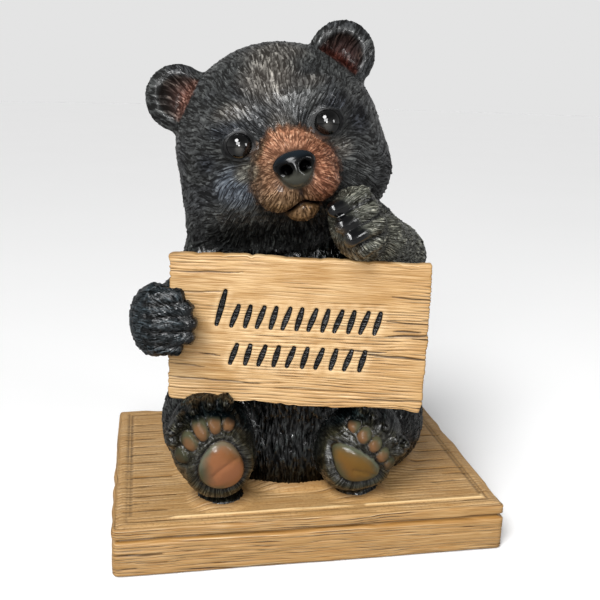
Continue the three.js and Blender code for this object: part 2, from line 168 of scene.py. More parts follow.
def capsule(start, end, start_radius, end_radius):
    start, end = np.array(start, float), np.array(end, float)
    axis = end - start

    def distance(p):
        q = p - start
        along = np.clip(q @ axis / (axis @ axis), 0, 1)
        return length(q - along[:, None] * axis) - start_radius - (end_radius - start_radius) * along

    return Form(distance, (start + end) / 2, np.linalg.norm(axis) / 2 + max(start_radius, end_radius))


def blended(a, b, blend):
    overlap = np.maximum(blend - np.abs(a - b), 0) / blend
    return np.minimum(a, b) - overlap * overlap * blend / 4


def add(d, p, form, blend, cut=False):
    """Flows a form into the distances d, or hollows it out of them, where the points are near it."""
    near = np.abs(p - form.centre).max(1) < form.reach + blend + BAND
    here = form.distance(p[near])
    d[near] = -blended(-d[near], here, blend) if cut else blended(d[near], here, blend)
    return d


def union(p, forms):
    """Distances of points from forms joined one after the other, each over its own blend width."""
    d = np.full(len(p), 4 * BAND)
    for form, blend in forms:
        add(d, p, form, blend)
    return d


def closest(p, forms):
    """Distances of points from the nearest of some forms."""
    return np.min([form.distance(p) for form in forms], 0)


def ellipsoids(*rows):
    """Forms to join, from rows of a centre, radii, a blend width and, for a turned one, its frame."""
    return [(ellipsoid(centre, radii, *axes), blend) for centre, radii, blend, *axes in rows]


def head_form(place, radii):
    return ellipsoid(on_head(place), radii, HEAD)


def head_forms(*rows):
    return [(head_form(place, radii), blend) for place, radii, blend in rows]


# ---- Head ----
SKULL = head_forms(((-1.2, -1, 0.6), (35.3, 32, 34.9), 1))
for side in (-1, 1):
    SKULL += head_forms(((side * 18.7 - 1.9, 0, -13.4), (17.1, 18.4, 14.6), 7),
                        ((side * 12.2, 23.5, 10.5), (9.5, 6.5, 5.5), 8))
SNOUT = head_forms(((0.6, 25.5, -9.2), (13, 15, 11.2), 1), ((0.3, 26.8, -2.5), (7.6, 8.5, 6.6), 5))
LIPS = head_forms(((-5.1, 31.6, -14.3), (7.7, 8.6, 6.3), 1), ((5.7, 31.6, -13.9), (7.7, 8.6, 6.3), 1))
CHIN = head_form((0, 28.8, -20.6), (5.5, 6.5, 4.3))
NOSE = head_forms(((0.5, 40, -7.2), (6.6, 4.2, 3.9), 1), ((0.4, 40, -10.8), (4.5, 4, 3.7), 2.5))
NOSTRILS = [head_form((0.5 + side * 3.3, 44, -8.9), (2.2, 3.0, 2.1)) for side in (-1, 1)]
EARS = [head_form((side * 28.9 - 1.2, -1, 25.3), (11.2, 4.8, 11.3)) for side in (-1, 1)]
EAR_CUPS = [head_form((side * 28.2 - 1, 4.8, 24.9), (7.9, 5.6, 8.2)) for side in (-1, 1)]


def muzzle(p):
    d = union(p, SNOUT)
    near = d < BAND
    d[near] = blended(d[near], union(p[near], LIPS), 2.5)
    return d


def nose(p):
    d = union(p, NOSE)
    for nostril in NOSTRILS:
        add(d, p, nostril, 0.8, cut=True)
    return d


def lid_rim(p, side):
    """Rounded rim round an eye, as a ring whose axis is the eye's line of sight."""
    x, y, z = (in_head(p) - EYE * (side, 1, 1)).T
    return np.hypot(np.hypot(x * 0.93, z * 1.05) - 4.4, y - 1.9) - 0.7


def head(p):
    d = blended(union(p, SKULL), muzzle(p), 5)
    add(d, p, CHIN, 0.6)
    for side in (-1, 1):
        x, y, z = EYE * (side, 1, 1)
        add(d, p, head_form((x, y + 3.8, z), (6, 5, 5.2)), 3.0, cut=True)
        add(d, p, head_form((x, y - 1.9, z), (6.1, 5.2, 5.9)), 1.5)
        add(d, p, Form(lambda q, s=side: lid_rim(q, s), on_head((x, y, z)), 7), 1.3)
        add(d, p, head_form((x - side * 5.2, y + 1.6, z - 3.0), (1.7, 1.3, 1.0)), 0.8)
    for ear, cup in zip(EARS, EAR_CUPS):
        shell = add(union(p, [(ear, 1.0)]), p, cup, 1.8, cut=True)
        d = blended(d, shell, 3.5)
    return blended(d, nose(p), 0.7)


# ---- Body, legs and feet ----
TORSO = ellipsoids(((2, 5, 42), (41, 34, 36), 1), ((-2, -8, 26), (27, 22.5, 20), 6),
                   ((-2, 4, 87), (31, 26, 32), 24), ((3, -13, 66), (27, 21, 25), 10),
                   ((3, 38.5, 31), (6.5, 6, 7), 4))
THIGHS = ellipsoids(((-31.5, -5, 35), (17, 26, 19.5), 1, facing(-3)),
                    ((32.5, -4, 32), (16.6, 27, 18), 4, facing(-20)))


class Foot:
    """A foot seen sole on: places on it are given across it, out of the sole and up it."""

    def __init__(self, centre, axes, radii, pad, toes, heel):
        self.centre, self.axes, self.pad, self.toes = np.array(centre, float), axes, pad, toes
        self.outward = 1 if centre[0] > 0 else -1
        self.claws = [self.claw(x, z) for x, z, _, _ in toes]
        self.forms = [(ellipsoid(self.centre, radii, axes), 1.0), (heel, 1.0)]
        for (x, z, _, _), claw in zip(toes, self.claws):
            lock = ellipsoid(self.placed(x * 1.08, 7.6, z + 5.6), (2.9, 4.6, 3.4), axes)
            self.forms += [(lock, 1.4), (claw, 0.5)]

    def placed(self, *place):
        return self.centre + self.axes @ np.array(place)

    def local(self, p):
        """Points in the foot's own frame."""
        return (p - self.centre) @ self.axes

    def round_pad(self, p):
        """The same, but measured from a little above the middle of the main pad."""
        return self.local(p) - (self.pad[0], 0, self.pad[1] + 4)

    def claw(self, across, up):
        outer = ramp(across * self.outward, 7, 9)
        wide, up = across * (1.2 - 0.2 * outer), up + 6.6 + 2.4 * outer
        return capsule(self.placed(wide - 0.1 * across, 9.0, up), self.placed(wide, 12.4, up - 0.3), 2.1, 1.4)

    def pad_reach(self, x, z):
        """0 in the middle of the main pad, 1 on its outline."""
        middle_x, middle_z, tilt, wide, above, below, taper = self.pad
        c, s = math.cos(math.radians(tilt)), math.sin(math.radians(tilt))
        u = (x - middle_x) * c + (z - middle_z) * s
        w = (z - middle_z) * c - (x - middle_x) * s
        u = u / (1 - taper * np.clip(w / above, -1, 1))
        return np.hypot(u / wide, w / np.where(w > 0, above, below))

    def toe_reach(self, x, z):
        """The same for the nearest toe pad, and how much nearer it is than the next one."""
        reach = np.sort([np.hypot((x - tx) / wide, (z - tz) / tall) for tx, tz, wide, tall in self.toes], 0)
        return reach[0], reach[1] - reach[0]

    def carving(self, p):
        """Masks of the main pad and the toe pads, and how far the sole stands out or in."""
        x, y, z = self.local(p).T
        front = ramp(y, 2.5, 6)
        pad, (toe, apart) = self.pad_reach(x, z), self.toe_reach(x, z)
        lift = 0.9 * ramp(pad, 1.04, 0.84) * (1 - 0.3 * np.minimum(pad, 1) ** 2)
        lift -= 0.7 * ramp(np.abs(pad - 1.07), 0.09, 0.02)
        lift += 1.1 * ramp(np.abs(pad - 1.36), 0.26, 0.04) * ramp(z, self.pad[1] + 8, self.pad[1])
        lift += 1.0 * ramp(toe, 1.1, 0.6) - 0.6 * ramp(np.abs(toe - 1.16), 0.2, 0.06)
        lift -= 0.6 * ramp(apart, 0.35, 0.08) * ramp(toe, 1.25, 1.0)
        share = np.clip((x + 2.0) / 10.4, 0, 1)
        crease = np.hypot(x + 2.0 - 10.4 * share, z + 7.4 - 2.9 * share - 0.7 * np.sin(3 * share))
        lift -= 0.4 * ramp(crease, 0.75, 0.1) * ramp(pad, 0.95, 0.75)
        toes = ramp(toe, 1.12, 1.0) * ramp(apart, 0.1, 0.3)
        return front * ramp(pad, 1.06, 0.98), front * toes, front * lift


FEET = {
    "left_foot": Foot(
        (-32.5, -31, 36.9), facing(-8, 8, 20), (14, 13.5, 18.0), (1.8, -5.6, -21, 7.2, 8.6, 8.2, 0.2),
        ((-9.3, 2.0, 2.2, 2.8), (-4.9, 6.0, 2.6, 3.2), (-0.2, 8.6, 2.6, 3.7), (4.5, 8.7, 2.4, 3.2),
         (8.7, 7.4, 2.2, 2.9)), ellipsoid((-29.8, -31.4, 18), (8.2, 8.2, 2.4))),
    "right_foot": Foot(
        (17.6, -32, 34), facing(6, 8, -38), (14, 13.5, 16.8), (-2.0, -5.5, 3, 8.6, 4.6, 6.3, -0.26),
        ((-9.5, 4.6, 1.8, 2.2), (-5.6, 4.0, 2.2, 2.7), (-1.0, 3.6, 2.3, 2.7), (3.6, 2.3, 2.3, 2.6),
         (8.2, 1.2, 2.1, 2.3)), ellipsoid((17.5, -31.3, 17.8), (8.2, 7.8, 2.8))),
}


# ---- Arms ----
GRIP_MIDDLE = 79.5  # height that the gripping fingers close round
GRIP_FINGERS = []
for height, reach in ((89.0, -43.8), (85.0, -41.0), (80.5, -39.8), (76.0, -40.6), (72.2, -44.6)):
    front = -36.4 + abs(height - GRIP_MIDDLE) * 0.22
    root = GRIP_MIDDLE + (height - GRIP_MIDDLE) * 0.9
    GRIP_FINGERS.append(capsule((-50.5, front + 0.4, root), (reach, front - 0.7, height), 3.1, 2.6))
HOLDING_ARM = [
    (capsule((-27, 0, 101), (-35.6, -10, 84), 11, 9), 1.0),
    (capsule((-35.6, -10, 83), (-50, -20.5, GRIP_MIDDLE), 9, 7.2), 5.0),
    (ellipsoid((-50.4, -26.4, 79.0), (8.4, 11.0, 12.0)), 3.0),
] + [(finger, 0.8) for finger in GRIP_FINGERS]

RAISED_FINGERS = [
    capsule((12.8, -40, 121.0), (3.6, -43.2, 117.2), 3.3, 2.5),
    capsule((15.0, -41.4, 117.0), (5.8, -45.2, 112.6), 3.3, 2.6),
    capsule((17.4, -41.8, 112.4), (8.6, -46.0, 108.6), 3.2, 2.6),
    capsule((18.0, -41, 107.0), (13.0, -44.6, 104.6), 2.9, 2.4),
]
# Places where the raised paw's claws end.
RAISED_TIPS = [(4.4, -44.6, 117.8), (7.2, -46.6, 113.6), (10.2, -47.0, 109.6)]
RAISED_ARM = [
    (capsule((24, 2, 103), (32.8, -10, 95.6), 12.2, 10.8), 1.0),
    (capsule((32.8, -10, 95.6), (23, -27, 104.3), 10.8, 9.2), 4.0),
    (ellipsoid((13.2, -36, 111.2), (9.2, 7.8, 12.4), facing(-6, 0, 20)), 3.0),
] + [(finger, 0.9) for finger in RAISED_FINGERS]


# ---- The whole cub ----
REGION_BLENDS = {"thighs": 7, "left_foot": 3, "right_foot": 3, "holding": 5, "head": 7, "raised": 2}


def board(p, shrink):
    """Distance from the sign board's slab, made smaller all round."""
    q = np.abs((p - SIGN_CENTRE) @ SIGN - (0, SIGN_SIZE[1] / 2, 0)) - (SIGN_SIZE / 2 - shrink)
    return np.maximum(q, 0).max(1) + np.minimum(q.max(1), 0)


def limbs(p):
    """Distances from each region of the cub on its own."""
    return {"torso": union(p, TORSO), "thighs": union(p, THIGHS),
            **{name: union(p, foot.forms) for name, foot in FEET.items()},
            "holding": union(p, HOLDING_ARM), "head": head(p), "raised": union(p, RAISED_ARM)}


def cub(p):
    parts = limbs(p)
    d = parts["torso"]
    for name, blend in REGION_BLENDS.items():
        d = blended(d, parts[name], blend)
    d = np.maximum(d, PLINTH_TOP - SUNK - p[:, 2])
    return np.maximum(d, -board(p, SUNK))


# ---- Netting a shape ----
def lattice(*sides):
    """Every whole-number place in a box, from the values along each of its sides."""
    return np.stack(np.meshgrid(*sides, indexing="ij"), -1).reshape(-1, len(sides))


def unpacked(keys, strides):
    """Whole-number places from the single numbers that they were packed into."""
    return np.stack([keys % strides[1], keys % strides[2] // strides[1], keys // strides[2]], 1)


def cells_near(shape, low, high, cell):
    """Fine cells that the surface may cross, found by halving coarse ones, and the grid's size."""
    size = 8 * cell
    counts = np.ceil((high - low) / size).astype(int)
    index = lattice(*[np.arange(n) for n in counts])
    for within in (1.35, 1.2, 1.1):  # in cells: well over half a diagonal, as blends bend distances
        index = index[np.abs(shape(low + (index + 0.5) * size)) < within * size]
        index = (index[:, None, :] * 2 + lattice(*[(0, 1)] * 3)).reshape(-1, 3)
        size /= 2
    return index[np.abs(shape(low + (index + 0.5) * size)) < size], counts * 8 + 1


def netted(shape, low, high, cell):
    """Points and quads over the zero surface of a shape, one point in each crossed cell."""
    cells, (nx, ny, _) = cells_near(shape, low, high, cell)
    strides = np.array([1, nx, nx * ny])
    keys = np.sort(cells @ strides)
    bits = np.array([[b & 1, b >> 1 & 1, b >> 2 & 1] for b in range(8)])
    around = keys[:, None] + bits @ strides
    corners = np.unique(around)
    place = unpacked(corners, strides)
    value = shape(low + place * cell)
    at = np.searchsorted(corners, around)
    inside = value[at] < 0
    crossed = inside.any(1) & ~inside.all(1)
    keys, at = keys[crossed], at[crossed]
    total, count = np.zeros((len(keys), 3)), np.zeros(len(keys))
    for a, b in ((a, a | 1 << axis) for a in range(8) for axis in range(3) if not a >> axis & 1):
        va, vb = value[at[:, a]], value[at[:, b]]
        cross = (va < 0) != (vb < 0)
        share = va[cross] / (va[cross] - vb[cross])
        start, end = place[at[cross, a]], place[at[cross, b]]
        total[cross] += start + (end - start) * share[:, None]
        count[cross] += 1
    quads = []
    for axis in range(3):
        far = np.minimum(np.searchsorted(corners, corners + strides[axis]), len(corners) - 1)
        here, there = value < 0, value[far] < 0
        edge = (corners[far] == corners + strides[axis]) & (here != there)
        u, v = strides[(axis + 1) % 3], strides[(axis + 2) % 3]
        quad = np.searchsorted(keys, corners[edge][:, None] - np.array([u + v, v, 0, u]))
        flip = ~here[edge]
        quad[flip] = quad[flip][:, ::-1]
        quads.append(quad)
    return low + cell * total / count[:, None], np.concatenate(quads)


def point_normals(points, quads):
    """Unit normals of the points, from the quads round them."""
    corner = points[quads]
    normal = np.cross(corner[:, 2] - corner[:, 0], corner[:, 3] - corner[:, 1])
    total = np.zeros_like(points)
    for k in range(4):
        for axis in range(3):
            total[:, axis] += np.bincount(quads[:, k], normal[:, axis], len(points))
    return unit(total)


def smoothed(points, quads):
    """Points drawn a little towards the mean of their neighbours, to take out the net's steps."""
    here, there = (np.concatenate([quads[:, (k + n) % 4] for k in range(4)]) for n in (0, 1))
    count = np.bincount(here, minlength=len(points))
    mean = np.stack([np.bincount(here, points[there, k], len(points)) for k in range(3)], 1)
    return points + 0.5 * (mean / np.maximum(count, 1)[:, None] - points)


# ---- Fur ----
MUZZLE_POLE = np.array([0.4, 36.0, -8.0])  # where the head's fur parts, in its own frame
TORSO_AXIS = np.array([0.0, 4.0])
GRIP = np.array([-28.0, -44.0, 79.0])  # where the holding arm's fur leads
COMB_APART = 90.0  # keeps the strokes of one region unlike those of the next
COMB_STRETCH = 0.14  # how much shorter the hair is in the comb's coordinates
STROKE_DEPTH = 2.4  # how far above or below a stroke's line it still reaches
STROKE_MIX, STROKE_SPAN = 7919, 10007  # primes that put the strokes in a mixed order
VOXEL = 2.6  # of the grid in which strokes and points are matched
FLOW_BLEND = 1.6  # how softly one region's fur turns into the next one's


def fur_flow(p, apart):
    """Direction that the fur grows in at each point, from every region by its nearness."""
    q = in_head(p)
    away = q - MUZZLE_POLE
    away[:, 2] -= 0.6 * np.abs(away[:, 0]) * ramp(q[:, 2], 6, -14)
    down = np.tile([0.0, 0.0, -1.0], (len(p), 1))
    down[:, :2] += 0.006 * (p[:, :2] - TORSO_AXIS)
    flows = {"head": away @ HEAD.T, "torso": down, "thighs": np.tile([0.0, -1.0, -0.55], (len(p), 1))}
    for name, foot in FEET.items():
        flat = foot.round_pad(p)
        flat[:, 1] = 9.0
        flows[name] = flat @ foot.axes.T
    lower = ramp(p[:, 1], 0, -14)[:, None]
    flows["holding"] = (1 - lower) * (-0.5, -0.4, -0.8) + lower * (GRIP - p) / 20
    wrist = ramp(p[:, 1], -8, -16)[:, None]
    flows["raised"] = (1 - wrist) * (0.55, -0.75, -0.5) + wrist * (-0.65, -0.7, 0.3)
    return sum(np.exp(-apart[name] / FLOW_BLEND)[:, None] * unit(flow) for name, flow in flows.items())


def round_axis(along, across, depth, radius):
    """Place on a straightened limb, with the hair's length shortened so that noise makes strokes there."""
    spread = np.maximum(np.hypot(across, depth), 1e-6)
    return np.stack([across / spread * radius, depth / spread * radius, along * COMB_STRETCH], 1)


def comb_place(p, parts, snout):
    """Coordinates that run along the fur, for the finest strokes."""
    q = in_head(p)
    wander = [noise(61 + k, *q.T / 8.0) - 0.5 for k in range(2)]
    nap_x, nap_y = (1.5 * w for w in wander)
    away = q - MUZZLE_POLE
    aside = np.clip(np.abs(away[:, 0]), 1.0, 26.0)
    fallen = away[:, 2] + 0.6 * ramp(q[:, 2], 6, -14) * aside * np.log(aside / 16)
    x, y, z = p.T
    combs = {
        "head": round_axis(0.95 * length(away), away[:, 0] + 3.6 * wander[0], fallen + 3.6 * wander[1], 27),
        "torso": round_axis(0.85 * z, x - TORSO_AXIS[0] + nap_x, y - TORSO_AXIS[1] + nap_y, 27),
        "thighs": round_axis(0.9 * y, np.abs(x) - 32 + nap_x, z - 34 + nap_y, 16),
    }
    for name, foot in FEET.items():
        across, out, up = foot.round_pad(p).T
        combs[name] = round_axis(1.4 * (out + np.hypot(across, up)), across + nap_x, up + nap_y, 21)
    flat = p - (-33, -43, 79)
    combs["holding"] = round_axis(0.9 * length(flat), 0.7 * (flat[:, 0] + flat[:, 1]) + nap_x,
                                  flat[:, 2] + nap_y, 18)
    forearm, paw = (p - (28, -18, 98)) @ facing(-32, 28), (p - (16, -34, 110)) @ facing(-48, 10)
    across, along, up = np.where(y[:, None] < -24, paw, forearm).T
    combs["raised"] = round_axis(along, across + nap_x, up + nap_y, 19)
    place = np.zeros_like(p)
    nearest = np.argmin([parts[name] for name in combs], 0)
    for n, comb in enumerate(combs.values()):
        place[nearest == n] = comb[nearest == n] + COMB_APART * n
    on_snout = snout > 0.5
    place[on_snout] = round_axis(1.8 * length(away), away[:, 0], away[:, 2], 12)[on_snout] - COMB_APART
    return place


def pairs_near(points, start, end, reach):
    """Every (stroke, point) pair whose voxel lies near the stroke's line, in batches."""
    low = points.min(0) - 4 * VOXEL
    span = np.ceil((points.max(0) - low) / VOXEL).astype(np.int64) + 5
    strides = np.array([1, span[0], span[0] * span[1]])
    key = np.floor((points - low) / VOXEL).astype(np.int64) @ strides
    order = np.argsort(key, kind="stable")
    key = key[order]
    home = np.floor(((start + end) / 2 - low) / VOXEL).astype(np.int64)
    line = end - start
    for step in lattice(*[range(-2, 3)] * 3):
        centre = low + (home + step + 0.5) * VOXEL - start
        share = np.clip(dot(centre, line) / dot(line, line), 0, 1)
        close = np.flatnonzero(length(centre - share[:, None] * line) < reach + 0.8 * VOXEL)
        here = (home[close] + step) @ strides
        first = np.searchsorted(key, here, "left")
        count = np.searchsorted(key, here, "right") - first
        slot = np.repeat(first - np.concatenate([[0], np.cumsum(count)[:-1]]), count)
        yield np.repeat(close, count), order[slot + np.arange(len(slot))]


def brushed(points, normals, flow, long, wide, random):
    """Each point's height, from 0 to 1, in the topmost of many strokes that overlap along the flow."""
    area = BEAR_CELL ** 2 * 0.85  # of the surface that one point stands for
    seed = np.flatnonzero(random.random(len(points)) < 3.2 * area / (1.2 * long * wide))
    tall = random.uniform(0.55, 1.0, len(seed))
    random.random(len(seed))  # these draws go unused, but the ones below follow on them
    turn = random.normal(0, 0.16, len(seed))
    bend = random.normal(0, 0.028, len(seed))
    size = long[seed] * random.uniform(0.75, 1.25, len(seed))
    girth = wide[seed] * random.uniform(0.75, 1.3, len(seed))
    root, out, flow = points[seed], normals[seed], flow[seed]
    side, cos, sin = np.cross(out, flow), np.cos(turn)[:, None], np.sin(turn)[:, None]
    along, across = flow * cos + side * sin, side * cos - flow * sin
    heights, touched, strokes = [], [], []
    for s, v in pairs_near(points, root, root + along * size[:, None], girth.max()):
        offset = points[v] - root[s]
        u = dot(offset, along[s]) / size[s]
        keep = (u > 0) & (u < 1)
        s, v, offset, u = s[keep], v[keep], offset[keep], u[keep]
        aside = dot(offset, across[s]) - bend[s] * (u * size[s]) ** 2
        narrow = girth[s] * np.sqrt(np.maximum(np.minimum(u * 5, 1) * (1 - u ** 3), 1e-6))
        profile = 1 - (aside / narrow) ** 2
        keep = (profile > 0) & (np.abs(dot(offset, out[s])) < STROKE_DEPTH)
        heights.append(tall[s[keep]] * (0.35 + 0.65 * u[keep]) * np.sqrt(profile[keep]))
        touched.append(v[keep])
        strokes.append(s[keep])
    heights, touched, strokes = (np.concatenate(found) for found in (heights, touched, strokes))
    order = np.lexsort((strokes * STROKE_MIX % STROKE_SPAN, touched))
    heights, touched = heights[order], touched[order]
    last = np.append(touched[1:] != touched[:-1], True)
    height = np.zeros(len(points))
    height[touched[last]] = heights[last]
    return height


# ---- Meshes ----
def make_object(name, points, faces, **fields):
    """A smooth mesh object from points in millimetres, with named fields of three numbers a point."""
    mesh = bpy.data.meshes.new(name)
    count, corners = faces.shape
    mesh.vertices.add(len(points))
    mesh.vertices.foreach_set("co", (points * MM).astype(np.float32).ravel())
    mesh.loops.add(count * corners)
    mesh.loops.foreach_set("vertex_index", faces.astype(np.int32).ravel())
    mesh.polygons.add(count)
    mesh.polygons.foreach_set("loop_start", np.arange(count, dtype=np.int32) * corners)
    mesh.update(calc_edges=True)
    for field, columns in fields.items():
        attribute = mesh.attributes.new(field, "FLOAT_VECTOR", "POINT")
        attribute.data.foreach_set("vector", np.stack(columns, 1).astype(np.float32).ravel())
    mesh.polygons.foreach_set("use_smooth", np.ones(count, dtype=bool))
    piece = bpy.data.objects.new(name, mesh)
    bpy.context.collection.objects.link(piece)
    return piece


def without_flakes(mesh):
    """Smooths away specks where two faces lie back to back, with a point that only they share."""
    form = bmesh.new()
    form.from_mesh(mesh)
    for _ in range(2):
        loose = [point for point in form.verts if len(point.link_faces) < 3]
        bmesh.ops.dissolve_verts(form, verts=loose)
    form.to_mesh(mesh)
    form.free()


def thinned(piece, triangles):
    """The piece with its mesh brought down to a number of triangles."""
    full, name = piece.data, piece.data.name
    full.calc_loop_triangles()
    share = triangles / len(full.loop_triangles)
    if share >= 1:
        return piece
    piece.modifiers.new("thin", "DECIMATE").ratio = share
    graph = bpy.context.evaluated_depsgraph_get()
    thin = bpy.data.meshes.new_from_object(piece.evaluated_get(graph))
    without_flakes(thin)
    piece.modifiers.clear()
    piece.data = thin
    bpy.data.meshes.remove(full)
    thin.name = name
    return piece


# ---- The cub's skin ----
SPOTS = (  # two paints, and where on the head they are laid, how strongly
    ((102, 98, 92), (198, 192, 181), (
        ((0, 22, 19), (13, 14, 13), 0.8), ((-12.5, 25, 12.5), (9.5, 9, 5), 1.0),
        ((11, 24, 15), (9, 8, 5), 0.6), ((0, 30, 4), (6, 8, 8), 0.6), ((-9, 24, -6), (7, 8, 5), 0.8),
        ((15, 26, -6), (8, 8, 5), 0.8), ((4, 14, 28), (14, 12, 9), 0.6))),
    ((92, 101, 112), (164, 171, 180), (((-17, 24, -9), (11, 14, 9), 0.8), ((-15, 25, 8), (8, 8, 4), 0.8))),
    ((20, 23, 30), (64, 70, 82), (
        ((-16, 26, 8.5), (9, 8, 5), 0.92), ((17, 26, 8), (9, 8, 5), 0.92), ((6.5, 27, 7), (5, 6, 6), 0.92),
        ((-24, 18, 0), (7, 10, 6), 0.92), ((24, 18, 2), (8, 10, 8), 0.92))),
)


def hardness(p, q, parts):
    """Masks of the places that carry no fur, each from 0 to 1."""
    chin = CHIN.distance(p)
    over_chin = chin - muzzle(p)
    lids = [ramp(length((q - EYE * (side, 1, 1)) * (0.93, 0.9, 1.08)), 5.6, 5.2) for side in (-1, 1)]
    masks = {
        "nose": ramp(nose(p), 0.75, 0.1),
        "nostril": ramp(closest(p, NOSTRILS), 0.3, -0.1),
        "lids": np.maximum(*lids),
        "chin": ramp(over_chin, 0.25, -0.35) * ramp(chin, 1.6, 0.4),
        "mouth": ramp(np.abs(over_chin), 1.3, 0.4) * ramp(chin, 2.6, 1.0),
        "ear": ramp(closest(p, EAR_CUPS), 0.5, -0.1),
    }
    for name, foot in FEET.items():
        near = ramp(parts[name], 3.5, 1.5)
        pad, toes, _ = foot.carving(p)
        masks["pad_" + name], masks["toes_" + name] = pad * near, toes * near
        masks["claws_" + name] = ramp(closest(p, foot.claws), 0.5, 0.1)
    tips = np.min([length((p - tip) * (0.8, 1, 1.1)) for tip in RAISED_TIPS], 0)
    tips += 1.0 * (noise(72, *p.T / 1.8) - 0.5)
    masks["raised_claws"] = ramp(closest(p, RAISED_FINGERS), 0.6, 0.2) * ramp(tips, 4.4, 2.6)
    grip = ramp(closest(p, GRIP_FINGERS), 0.6, 0.2)
    masks["grip_claws"] = grip * ramp(p[:, 0], -42.6, -40.6) * ramp(p[:, 1], -36, -38)
    return masks


